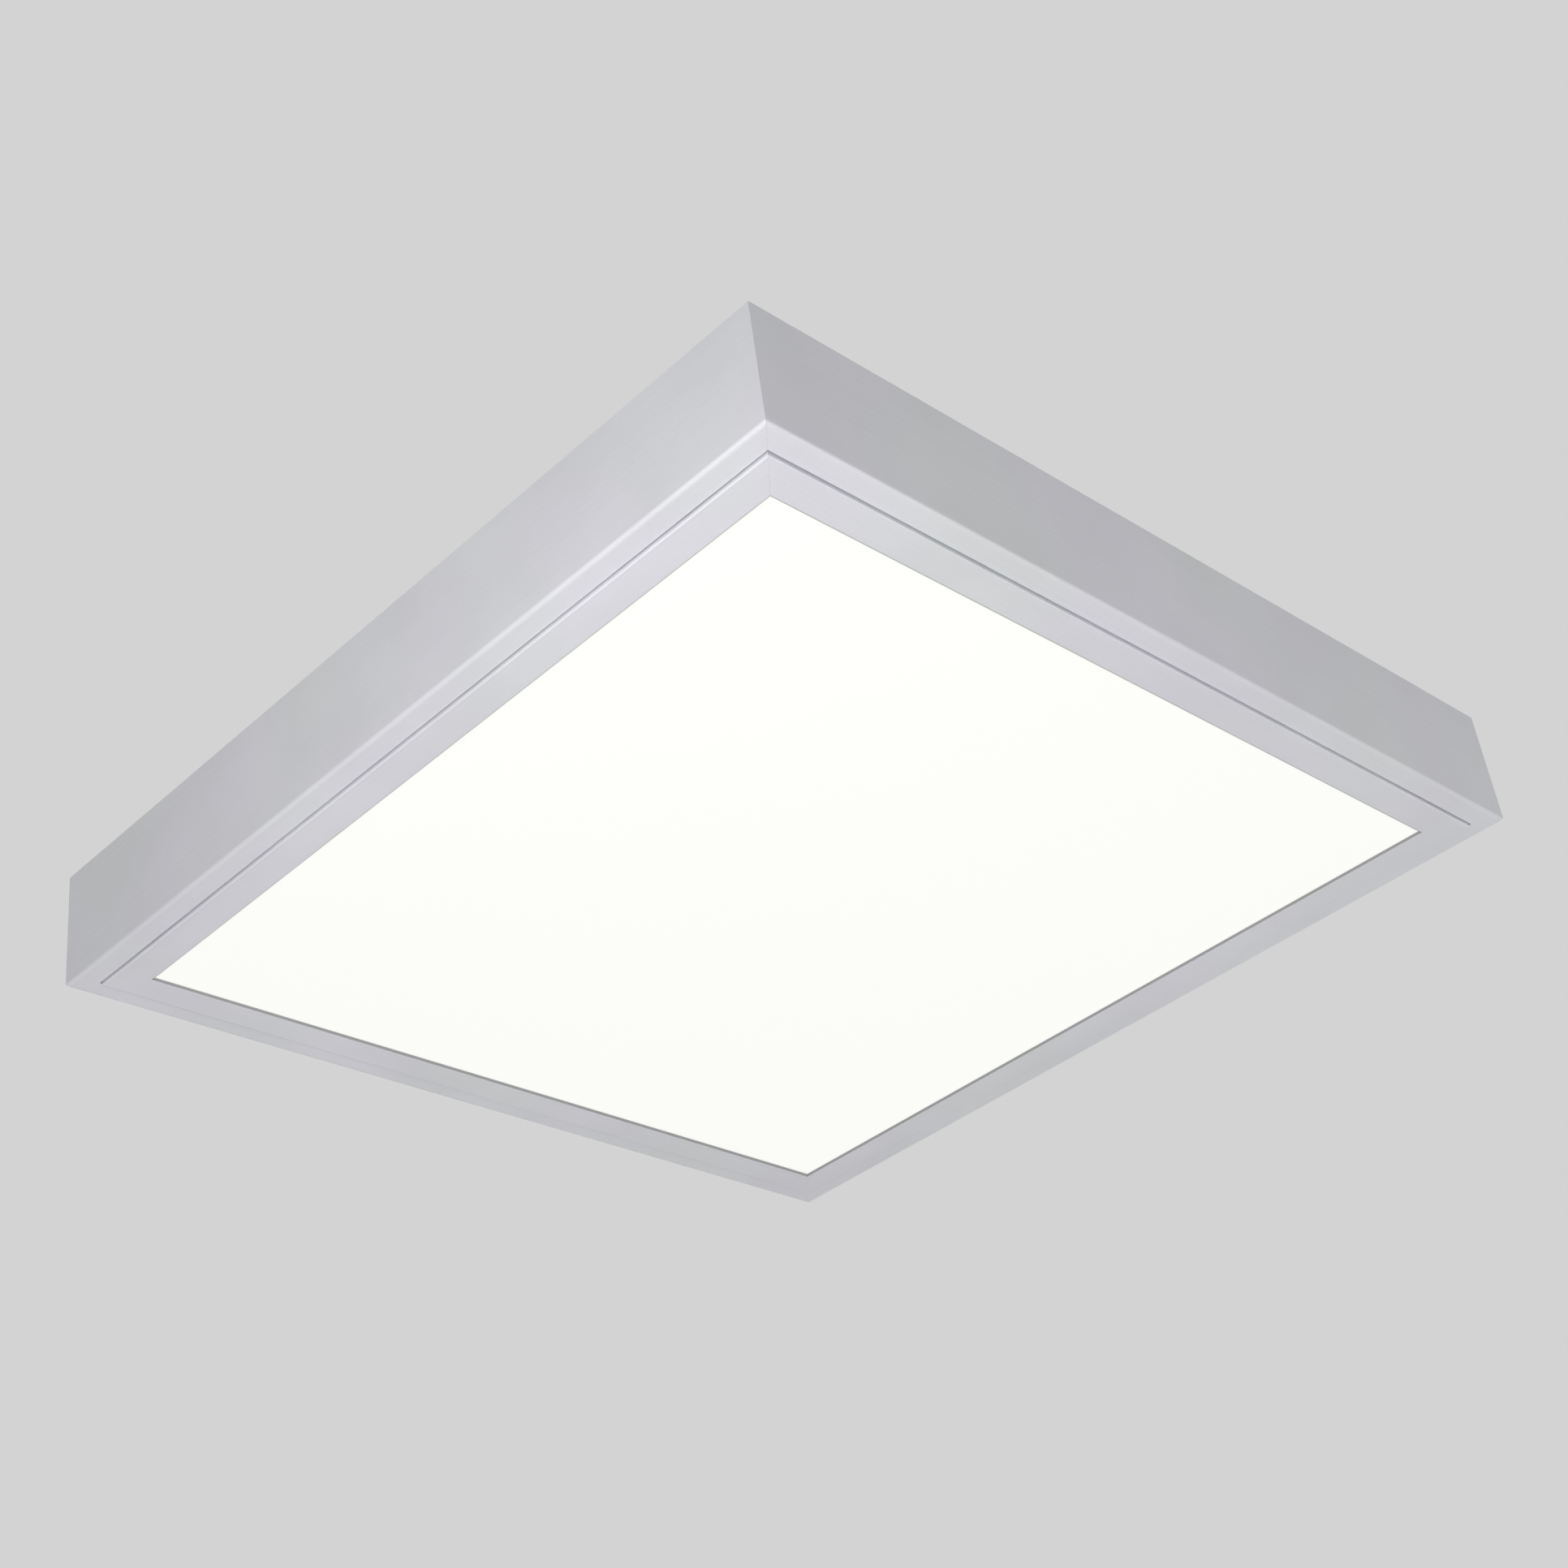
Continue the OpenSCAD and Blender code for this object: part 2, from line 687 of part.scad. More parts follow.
// Hinge pin: shaft in the block, collar outside the ear and a spigot with a rivet head
module hinge_pin(k) color(zinc_grey) at_pivot(k)
    translate([0, ear_gap, bar_h + back_t + hinge_rise]) rotate([90, 0, 0]) {
        shaft = ear_out - slot_face - 2 * ear_gap;
        cylinder(r = pin_r, h = shaft);
        cylinder(r = collar_r, h = collar_l);
        translate([0, 0, -ear_t]) cylinder(r = spigot_r, h = ear_t + eps);
        translate([0, 0, -ear_t - rivet_h]) cylinder(r = spigot_r + rivet_h, h = rivet_h);
    }

// Striker for one catch spring, folded from a strip: base, riser and the tab over the nose
striker_path = rounded_route([
    [striker_riser + striker_base, striker_t / 2],
    [striker_riser + striker_t / 2, striker_t / 2],
    [striker_riser + striker_t / 2, striker_h - striker_t / 2],
    [striker_tab, striker_h - striker_t / 2]
], striker_bend + striker_t / 2);

module striker(side) color(bright_steel) panel_side(SIDE_CATCH)
    translate([side * catch_pitch / 2, 0, bar_h + back_t]) difference() {
        along_x(striker_w) polygon(strip_outline(striker_path, striker_t));
        translate([0, striker_screw_s, 0]) screw_hole(2 * striker_t + 1);
    }

module bracket_screws() color(zinc_grey) {
    for (k = [SIDE_RIGHT, SIDE_LEFT], x = [-1, 1] * pivot_screw_x) at_pivot(k)
        translate([x, shelf_screw_s, bar_h + back_t + pivot_base_t])
            cross_screw(shelf_shank(pivot_base_t + back_t));
    for (x = [-1, 1] * catch_pitch / 2) panel_side(SIDE_CATCH)
        translate([x, striker_screw_s, bar_h + back_t + striker_t])
            cross_screw(shelf_shank(striker_t + back_t));
}

// Driver, drawn with its length along Y
driver_fixings = [for (x = [-1, 1] * fixing_x, y = [-1, 1] * (driver_l / 2 + ear_l - fixing_in)) [x, y]];
bush_z = lead_z - z_case;
case_r = 2.2;
tray_r = 1.4;
post_r = 2.4;
post_x = pcb_w / 2 - 4;
post_y = pcb_l / 2 - 6;

module at_driver() translate([driver_x, 0, z_case]) children();

// Folded section of the tray, from wall to wall
module tray_section() difference() {
    translate([-driver_w / 2, 0]) square([driver_w, case_wall]);
    translate([-driver_w / 2 + case_t, case_t]) square([driver_w - 2 * case_t, case_wall]);
    translate([-driver_w / 2, 0]) edge_cut(tray_r);
    translate([driver_w / 2, 0]) rotate(90) edge_cut(tray_r);
}

module driver_tray() color("#c9cbce") at_driver() difference() {
    union() {
        along_y(driver_l) tray_section();
        linear_extrude(height = case_t) rounded_plate(ear_w, driver_l + 2 * ear_l, ear_corner);
        for (x = [-1, 1] * post_x, y = [-1, 1] * post_y)
            translate([x, y, 0]) cylinder(r = post_r, h = case_t + pcb_gap);
    }
    for (p = driver_fixings) translate([p[0], p[1], 0]) screw_hole(2 * case_t + 1);
}

vent_n = 9;
vent_pitch = 9;
vent_l = 22;
vent_r = 1.2;
vent_shift = 22;
module vent_slot() {
    for (s = [-1, 1]) translate([s * vent_l / 2, 0, 0]) cylinder(r = vent_r, h = 4 * case_t, center = true);
    cube([vent_l, 2 * vent_r, 4 * case_t], center = true);
}

// Section of the bent cover, from its lower edge up, with round bends of radius r
module cover_section(half, low, high, r) difference() {
    translate([-half, low]) square([2 * half, high - low]);
    translate([-half, high]) mirror([0, 1]) edge_cut(r);
    translate([half, high]) rotate(180) edge_cut(r);
}

// Extrudes an outline given across and up along Y, about the middle
module along_y(length) rotate([90, 0, 0]) linear_extrude(height = length, center = true) children();

module driver_cover() color("#d5d7da") at_driver() difference() {
    side_in = driver_w / 2 - case_t - slide_gap;
    along_y(driver_l) cover_section(side_in, case_t, driver_h, case_r);
    along_y(driver_l - 2 * case_t)
        cover_section(side_in - case_t, case_t - 1, driver_h - case_t, case_r - case_t);
    for (i = [0:vent_n - 1])
        translate([0, (i - (vent_n - 1) / 2) * vent_pitch - vent_shift, driver_h]) vent_slot();
    translate([-terminal_w / 2 - slide_gap, driver_l / 2 - 2 * case_t, 0])
        cube([terminal_w + 2 * slide_gap, 3 * case_t, z_parts - z_case + terminal_h + slide_gap]);
    translate([0, -driver_l / 2, bush_z]) rotate([90, 0, 0])
        cylinder(r = bush_neck_r + slide_gap, h = 4 * case_t, center = true);
}

module driver_board() color("#3f7d4e")
    translate([driver_x - pcb_w / 2, -pcb_l / 2, z_pcb]) cube([pcb_w, pcb_l, pcb_t]);

// Transformer: bobbin flanges, winding and the two halves of its core
transformer_y = -18;
bobbin_w = 20;
bobbin_t = 3;
bobbin_corner = 1;
winding_r = 8.5;
winding_h = 10;
core_w = 18;
core_t = 4;
module driver_transformer() translate([driver_x, transformer_y, z_parts]) {
    color("#d8c26a") translate([0, 0, bobbin_t]) cylinder(r = winding_r, h = winding_h);
    color("#2d2d30") for (z = [0, bobbin_t + winding_h]) translate([0, 0, z])
        linear_extrude(height = bobbin_t) rounded_plate(bobbin_w, bobbin_w, bobbin_corner);
    color("#4a4a4e") for (s = [-1, 1]) translate([s * (bobbin_w + core_t) / 2, 0, 0])
        linear_extrude(height = winding_h + 2 * bobbin_t) square([core_t, core_w], center = true);
}

choke_place = [4, 26];
choke_r = 6;
choke_wire_r = 3;
module driver_choke() color("#b5632f")
    translate([driver_x + choke_place[0], choke_place[1], z_parts + choke_r + choke_wire_r])
        rotate([0, 90, 0]) rotate_extrude() translate([choke_r, 0]) circle(choke_wire_r);

capacitor_places = [[-9, 48], [9, 50], [-8, -62], [8, -62]];
capacitor_r = 5.5;
capacitor_h = 18;
capacitor_bead = 0.5;
capacitor_waist = 2.4;
crimp_r = 4.4;
crimp_w = 0.4;
crimp_deep = 0.6;
module driver_capacitors() color("#2b3a63")
    for (p = capacitor_places) translate([driver_x + p[0], p[1], z_parts]) difference() {
        cylinder(r = capacitor_r, h = capacitor_h);
        translate([0, 0, capacitor_waist])
            rotate_extrude() translate([capacitor_r, 0]) circle(capacitor_bead);
        translate([0, 0, capacitor_h - crimp_deep]) difference() {
            cylinder(r = crimp_r, h = 1);
            cylinder(r = crimp_r - crimp_w, h = 1);
        }
    }

sink_place = [-12, -44];
sink_w = 24;
sink_t = 2;
sink_h = 17;
fin_n = 6;
fin_t = 1.4;
fin_l = 4;
fin_pitch = (sink_w - fin_t) / (fin_n - 1);
module driver_heat_sink() color("#bfc2c6") translate([driver_x + sink_place[0], sink_place[1], z_parts])
    linear_extrude(height = sink_h) union() {
        square([sink_w, sink_t]);
        for (i = [0:fin_n - 1]) translate([i * fin_pitch, sink_t - eps]) square([fin_t, fin_l + eps]);
    }

module driver_screws() color(zinc_grey) at_driver()
    for (p = driver_fixings) translate([p[0], p[1], case_t]) cross_screw(case_t + back_t + fixing_end);

// Bush that holds the lead where it leaves the driver: two collars grip the case's end,
// and a sleeve with flex grooves tapers along the lead
bush_neck_r = lead_r + 1.1;
bush_collar_r = lead_r + 2.2;
bush_collar_t = 1.6;
bush_tip_r = lead_r + 0.8;
bush_root_r = lead_r + 1.7;
bush_groove_r = lead_r + 0.6;
bush_groove_n = 4;
bush_groove_pitch = 2.8;
bush_groove_w = 0.9;
module driver_bush() color(black_nylon) at_driver()
    translate([0, -driver_l / 2, bush_z]) rotate([90, 0, 0]) difference() {
        union() {
            for (z = [-case_t - slide_gap - bush_collar_t, slide_gap])
                translate([0, 0, z]) cylinder(r = bush_collar_r, h = bush_collar_t);
            translate([0, 0, -case_t - 2 * slide_gap])
                cylinder(r = bush_neck_r, h = case_t + 4 * slide_gap);
            translate([0, 0, bush_collar_t])
                cylinder(r1 = bush_root_r, r2 = bush_tip_r, h = bush_l - bush_collar_t);
        }
        for (i = [1:bush_groove_n]) translate([0, 0, bush_collar_t + i * bush_groove_pitch]) difference() {
            cylinder(r = bush_collar_r, h = bush_groove_w);
            translate([0, 0, -eps]) cylinder(r = bush_groove_r, h = bush_groove_w + 1);
        }
        translate([0, 0, -case_t - 3]) cylinder(r = lead_r + slide_gap, h = bush_l + case_t + 4);
    }

// Three pole mains terminal in the driver's end
pole_x = [-1, 0, 1] * pole_pitch;
terminal_lip = 4;
terminal_slope = 1.5;
terminal_bevel = 1;
wire_hole_r = 1.6;
wire_hole_l = 12;
wire_hole_z = 5;
pole_screw_r = 2.1;
pole_screw_h = 5;
pole_screw_in = 10;
pole_seat = 6.7;
pole_slot = 0.7;
pole_groove = 1.2;
pole_groove_h = 5;

module mains_terminal() color("#e9e6dc")
    translate([driver_x, driver_l / 2 + terminal_out - terminal_l, z_parts]) difference() {
        along_x(terminal_w) polygon([
            [0, 0],
            [terminal_l, 0],
            [terminal_l, terminal_step],
            [terminal_l - terminal_lip, terminal_step],
            [terminal_l - terminal_lip - terminal_slope, terminal_h],
            [terminal_bevel, terminal_h],
            [0, terminal_h - terminal_bevel]
        ]);
        for (x = pole_x) {
            translate([x, terminal_l + 1, wire_hole_z]) rotate([90, 0, 0])
                cylinder(r = wire_hole_r, h = wire_hole_l + 1);
            translate([x, terminal_l - pole_screw_in, pole_seat])
                cylinder(r = pole_screw_r + 2 * slide_gap, h = terminal_h);
        }
        for (x = [-1, 1] * pole_pitch / 2)
            translate([x - pole_groove / 2, -1, terminal_h - pole_groove_h])
                cube([pole_groove, terminal_l + 2, pole_groove_h + 1]);
    }

module mains_terminal_screws() color(bright_steel)
    for (x = pole_x)
        translate([driver_x + x, driver_l / 2 + terminal_out - pole_screw_in, z_parts + pole_seat])
            difference() {
                cylinder(r = pole_screw_r, h = pole_screw_h);
                translate([-pole_screw_r - 1, -pole_slot / 2, pole_screw_h - pole_slot])
                    cube([2 * pole_screw_r + 2, pole_slot, 2]);
            }

// Round tube swept along points, one ring at each, with flat ends
tube_sides = 10;
function ring_dir(p, i) = unit(p[min(i + 1, len(p) - 1)] - p[max(i - 1, 0)]);
function ring_side(d) = unit(cross([0, 0, 1], d));
function ring(p, i, r) =
    let (d = ring_dir(p, i), s = ring_side(d), u = cross(d, s))
    [for (j = [0:tube_sides - 1]) let (a = 360 * j / tube_sides) p[i] + r * (cos(a) * s + sin(a) * u)];

module tube(p, r) {
    n = len(p);
    polyhedron(
        points = [for (i = [0:n - 1]) each ring(p, i, r)],
        faces = concat(
            [for (i = [0:n - 2], j = [0:tube_sides - 1], t = [0, 1])
                let (a = i * tube_sides + j, b = i * tube_sides + (j + 1) % tube_sides)
                t == 0 ? [a, b, b + tube_sides] : [a, b + tube_sides, a + tube_sides]],
            [for (j = [1:tube_sides - 2]) [0, j + 1, j]],
            [for (j = [1:tube_sides - 2]) let (e = (n - 1) * tube_sides) [e, e + j, e + j + 1]]
        )
    );
}

driver_lead_route = rounded_route([
    [driver_x, -driver_l / 2 + 2, lead_z],
    [driver_x, lead_run_y, lead_z],
    [plug_x + plug_l, lead_run_y, lead_z]
], lead_turn);
panel_lead_route = rounded_route([
    [plug_x - socket_l, lead_run_y, lead_z],
    [lead_drop_x, lead_run_y, lead_z],
    [lead_drop_x, boot_y, lead_z],
    [boot_x + boot_l / 2, boot_y, lead_z]
], lead_turn);

module driver_lead() color("#f0f0ee") tube(driver_lead_route, lead_r);
module panel_lead() color("#f0f0ee") tube(panel_lead_route, lead_r);

// Inline connector: the plug's nose goes into the socket, and a latch holds it there
nose_l = 8;
nose_w = 8;
neck_l = 6;
neck_r = lead_r + 1.4;
latch_w = 4;
latch_l = 10;
latch_in = 4;
latch_t = 3.4;
shell_r = 2;
grip_n = 4;
grip_pitch = 3;
grip_in = 6;
grip_w = 1.2;
grip_deep = 0.5;

module grip_grooves(width) for (i = [0:grip_n - 1], s = [-1, 1])
    translate([i * grip_pitch, s * width / 2 - grip_deep, -plug_w / 2 - 1])
        cube([grip_w, 2 * grip_deep, plug_w + 2]);

module lead_plug() color("#ececea") translate([plug_x, lead_run_y, lead_z]) difference() {
    union() {
        from_x(plug_l - neck_l) rounded_plate(plug_w, plug_w, shell_r);
        translate([plug_l - neck_l - eps, 0, 0]) rotate([0, 90, 0]) cylinder(r = neck_r, h = neck_l + eps);
        translate([-nose_l, 0, 0]) from_x(nose_l + eps) rounded_plate(nose_w, nose_w, 1);
        translate([-latch_in, -latch_w / 2, nose_w / 2 - eps]) cube([latch_l, latch_w, latch_t]);
    }
    translate([grip_in, 0, 0]) grip_grooves(plug_w);
}

module lead_socket() color("#ececea") translate([plug_x, lead_run_y, lead_z]) difference() {
    union() {
        translate([-socket_l + neck_l, 0, 0])
            from_x(socket_l - neck_l - 2 * slide_gap) rounded_plate(socket_w, plug_w, shell_r);
        translate([-socket_l, 0, 0]) rotate([0, 90, 0]) cylinder(r = neck_r, h = neck_l + eps);
    }
    translate([-nose_l - 2 * slide_gap, 0, 0])
        from_x(nose_l + 1) rounded_plate(nose_w + 2 * slide_gap, nose_w + 2 * slide_gap, 1);
    translate([-latch_in - 1, -latch_w / 2 - 2 * slide_gap, 0])
        cube([latch_l, latch_w + 4 * slide_gap, plug_w]);
    translate([-socket_l + neck_l + grip_in / 2, 0, 0]) grip_grooves(socket_w);
}

// Saddles that hold the lead over the back plate, as centre and turn
saddle_after = 26;
saddle_in = 39;
saddles = [
    [driver_x - lead_turn - saddle_after, lead_run_y, 0],
    [lead_drop_x + saddle_in, lead_run_y, 0],
    [lead_drop_x, (lead_run_y + boot_y) / 2, 90]
];
saddle_w = 10;
saddle_l = 20;
saddle_r = 2;
saddle_t = 1.4;
saddle_clip = 6;
module lead_saddles() color("#f4f4f2") for (s = saddles)
    translate([s[0], s[1], z_back]) rotate([0, 0, s[2]]) difference() {
        union() {
            linear_extrude(height = saddle_t) rounded_plate(saddle_w, saddle_l, saddle_r);
            translate([-saddle_clip / 2, 0, 0]) from_x(saddle_clip) union() {
                translate([0, lead_z - z_back]) circle(r = neck_r);
                translate([-neck_r, 0]) square([2 * neck_r, lead_z - z_back]);
            }
        }
        translate([-saddle_w, 0, lead_z - z_back]) rotate([0, 90, 0])
            cylinder(r = lead_r + slide_gap, h = 2 * saddle_w);
    }

// Half section of the boot, with a round shoulder
module boot_section() difference() {
    square([boot_w / 2, boot_h]);
    translate([boot_w / 2, boot_h]) rotate(180) edge_cut(boot_r);
}

// Boot that leads the wires down through the back plate. Its round ends are turned, and a
// neck takes the lead.
boot_hole_r = 4;
boot_spigot_gap = 0.2;
boot_bore_r = 2.8;
core_r = 1.6;
module panel_boot() color(black_nylon) translate([boot_x, boot_y, z_back]) difference() {
    body_end = boot_l / 2 - boot_neck - boot_w / 2;
    union() {
        for (x = [-boot_l / 2 + boot_w / 2, body_end]) translate([x, 0, 0]) rotate_extrude() boot_section();
        translate([-boot_l / 2 + boot_w / 2, 0, 0]) from_x(body_end + boot_l / 2 - boot_w / 2) union() {
            boot_section();
            mirror([1, 0]) boot_section();
        }
        translate([0, 0, lead_z - z_back]) rotate([0, 90, 0]) cylinder(r = neck_r, h = boot_l / 2);
        translate([0, 0, -back_t]) cylinder(r = boot_hole_r - boot_spigot_gap, h = back_t + eps);
    }
    translate([0, 0, -2 * back_t]) cylinder(r = boot_bore_r, h = lead_z - z_back + 2 * back_t);
    translate([0, 0, lead_z - z_back]) rotate([0, 90, 0]) cylinder(r = core_r, h = boot_l);
}

// Thin wires inside the panel, up to the solder pads at the ends of the boards
wire_r = 0.5;
wire_turn = 2;
wire_apart = 2.4;
wire_up = 5;
pad_in = 4.7;
z_wire = z_face + z_foam + wire_r + 0.1;
feed_end = -panel_w / 2 + bar_t + board_t + 0.1;
module feed_wires() color("#c23b34") for (s = [-0.5, 0.5] * wire_apart) tube(rounded_route([
    [boot_x + s, boot_y + s, z_back + wire_up],
    [boot_x + s, boot_y + s + eps, z_wire],
    [feed_end, boot_y + s, z_wire]
], wire_turn), wire_r);

link_y = -panel_w / 2 + shelf_w + edge_gap + wire_groove / 2;
link_end = -panel_w / 2 + shelf_w / 2 + 1.5;
pad_y = -board_l / 2 + pad_in;
module link_wire() color("#c23b34") tube(rounded_route([
    [feed_end, pad_y, z_wire],
    [link_end, pad_y, z_wire],
    [link_end, link_y, z_wire],
    [-link_end, link_y, z_wire],
    [-link_end, pad_y, z_wire],
    [-feed_end, pad_y, z_wire]
], wire_turn), wire_r);

rail(SIDE_RIGHT);  // rail_right
rail(SIDE_HINGE);  // rail_hinge_side
rail(SIDE_LEFT);  // rail_left
rail(SIDE_CATCH);  // rail_catch_side
corner_brackets(z_slot_low);  // corner_brackets_lower
corner_brackets(z_slot_high);  // corner_brackets_upper
corner_grub_screws();
hinge_block(SIDE_RIGHT);  // hinge_block_right
hinge_block(SIDE_LEFT);  // hinge_block_left
slot_nuts();
slot_screws();
catch_spring(1);  // catch_spring_right
catch_spring(-1);  // catch_spring_left
panel_stops();
panel_bar(SIDE_RIGHT);  // panel_bar_right
panel_bar(SIDE_HINGE);  // panel_bar_hinge_side
panel_bar(SIDE_LEFT);  // panel_bar_left
panel_bar(SIDE_CATCH);  // panel_bar_catch_side
panel_corner_keys();
panel_corner_screws();
diffuser();
light_guide();
reflector();
foam_pad();
back_plate();
back_plate_screws();
led_board(SIDE_HINGE);  // led_board_hinge_side
led_board(SIDE_CATCH);  // led_board_catch_side
leds(SIDE_HINGE);  // leds_hinge_side
leds(SIDE_CATCH);  // leds_catch_side
pivot_bracket(SIDE_RIGHT);  // pivot_bracket_right
pivot_bracket(SIDE_LEFT);  // pivot_bracket_left
hinge_pin(SIDE_RIGHT);  // hinge_pin_right
hinge_pin(SIDE_LEFT);  // hinge_pin_left
striker(1);  // striker_right
striker(-1);  // striker_left
bracket_screws();
driver_tray();
driver_cover();
driver_board();
driver_transformer();
driver_choke();
driver_capacitors();
driver_heat_sink();
driver_screws();
driver_bush();
mains_terminal();
mains_terminal_screws();
driver_lead();
lead_plug();
lead_socket();
panel_lead();
lead_saddles();
panel_boot();
feed_wires();
link_wire();
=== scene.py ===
"""Finishes, smooth leads and a studio for a surface mounted LED panel light."""

import math

import bpy
from bpy.props import FloatProperty, FloatVectorProperty, PointerProperty
from mathutils import Matrix, Vector


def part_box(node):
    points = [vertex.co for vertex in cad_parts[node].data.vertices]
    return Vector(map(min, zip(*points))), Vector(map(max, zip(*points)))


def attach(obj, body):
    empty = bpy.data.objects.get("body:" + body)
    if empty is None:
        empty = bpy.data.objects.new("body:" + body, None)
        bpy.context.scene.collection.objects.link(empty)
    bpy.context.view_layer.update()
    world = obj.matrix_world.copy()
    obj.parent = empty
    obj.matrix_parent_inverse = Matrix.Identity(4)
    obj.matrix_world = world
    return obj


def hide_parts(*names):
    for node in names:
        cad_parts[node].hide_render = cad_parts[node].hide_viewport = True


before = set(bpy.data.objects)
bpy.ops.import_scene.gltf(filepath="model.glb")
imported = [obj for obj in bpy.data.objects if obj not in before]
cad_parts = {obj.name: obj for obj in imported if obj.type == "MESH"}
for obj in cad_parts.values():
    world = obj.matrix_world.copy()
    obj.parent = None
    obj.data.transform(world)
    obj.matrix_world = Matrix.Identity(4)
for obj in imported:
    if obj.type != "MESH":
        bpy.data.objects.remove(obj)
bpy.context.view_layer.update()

bl_info = {
    "name": "Surface Mounted LED Panel Light",
    "version": (1, 0, 0),
    "blender": (4, 5, 0),
    "location": "3D View > Sidebar > Panel Light",
    "description": "Finishes the housing, the lit panel and the driver, and lays the smooth leads",
    "category": "Object",
}

MM = 0.001
PANEL = "panel"

# The low voltage lead, in millimetres in the part's frame, from the bush to the plug and from the
# socket to the boot
LEAD_Z = -60.2
LEAD_RADIUS = 2.3
LEAD_TURN = 18.0
DRIVER_LEAD = [(60.0, -93.0, LEAD_Z), (60.0, -145.0, LEAD_Z), (-34.0, -145.0, LEAD_Z)]
PANEL_LEAD = [(-90.0, -145.0, LEAD_Z), (-165.0, -145.0, LEAD_Z), (-165.0, -95.0, LEAD_Z),
              (-201.0, -95.0, LEAD_Z)]

# The thin wires: two from under the boot to the near LED board, and one from board to board
WIRE_Z = -70.25
WIRE_TOP_Z = -61.2
WIRE_RADIUS = 0.5
WIRE_TURN = 2.0
WIRE_SIDES = (-1.2, 1.2)
BOOT_X, BOOT_Y = -215.0, -95.0
BOARD_X, BOARD_Y = 283.6, -260.3
LINK_X, LINK_Y = 280.3, -274.3
FEED_WIRES = [
    [(BOOT_X + side, BOOT_Y + side, WIRE_TOP_Z), (BOOT_X + side, BOOT_Y + side, WIRE_Z),
     (-BOARD_X, BOOT_Y + side, WIRE_Z)]
    for side in WIRE_SIDES
]
LINK_WIRE = [(-BOARD_X, BOARD_Y, WIRE_Z), (-LINK_X, BOARD_Y, WIRE_Z), (-LINK_X, LINK_Y, WIRE_Z),
             (LINK_X, LINK_Y, WIRE_Z), (LINK_X, BOARD_Y, WIRE_Z), (BOARD_X, BOARD_Y, WIRE_Z)]

# How a lead is drawn: steps along a turn, Blender's bevel resolution round it, the handle of a
# quarter circle with a radius of 1, and the angle from which an edge stays sharp
TURN_STEPS = 16
BEVEL_RESOLUTION = 6
CIRCLE_HANDLE = 0.5523
SHARP_ANGLE = math.radians(40)

# The diffuser's shaded border, as a part of the sheet's own colour and glow
BORDER_SHEET = 0.85
BORDER_GLOW = 0.27

# Patterns, in metres: the pitch of each, and how far the tracks wander
DOT_PITCH = 0.004
TRACK_PITCH = 0.0038
TRACK_WANDER = 0.004
WINDING_PITCH = 0.0012

# The floor: its radius in metres, its corners, its darkest and palest tone, and what the camera
# sees added to it, so that it meets the background
FLOOR_RADIUS = 6.0
FLOOR_CORNERS = 96
FLOOR_DARK, FLOOR_PALE = 0.78, 0.82
FLOOR_LIFT = 0.38

# The soft light's blue against its red and green, and the camera's sensor in millimetres
AMBIENT_BLUE = 1.01
SENSOR_WIDTH = 36.0

# Disc lamps: name, place, the point each faces and its width, in metres. The power of each is the
# studio's property of the same name.
LAMPS = [
    ("key", (-1.80, 0.10, -1.80), (0.0, 0.0, -0.08), 1.0),
    ("far", (0.20, 0.20, -1.00), (0.10, 0.10, -0.08), 0.8),
    ("left", (-0.70, -0.25, -0.25), (-0.30, -0.10, -0.04), 0.4),
    ("right", (0.10, -1.50, -1.10), (0.0, -0.20, -0.06), 0.8),
    ("back", (1.60, 1.60, 0.80), (0.0, 0.0, -0.04), 0.8),
    ("top", (0.20, 0.20, 1.30), (0.0, 0.0, -0.06), 0.5),
]

# Sockets of the Mix node when it mixes colours
MIX_FACTOR, MIX_FIRST, MIX_SECOND, MIX_RESULT = 0, 6, 7, 2


class Term:
    """A shader output that takes part in sums and products."""

    def __init__(self, finish, output):
        self.finish = finish
        self.output = output

    def maths(self, operation, *others):
        return self.finish.maths(operation, self, *others)

    def __add__(self, other):
        return self.maths("ADD", other)

    def __sub__(self, other):
        return self.maths("SUBTRACT", other)

    def __mul__(self, other):
        return self.maths("MULTIPLY", other)

    def __radd__(self, other):
        return self.finish.maths("ADD", other, self)

    def __rmul__(self, other):
        return self.finish.maths("MULTIPLY", other, self)

    def size(self):
        """The value without its sign."""
        return self.maths("ABSOLUTE")


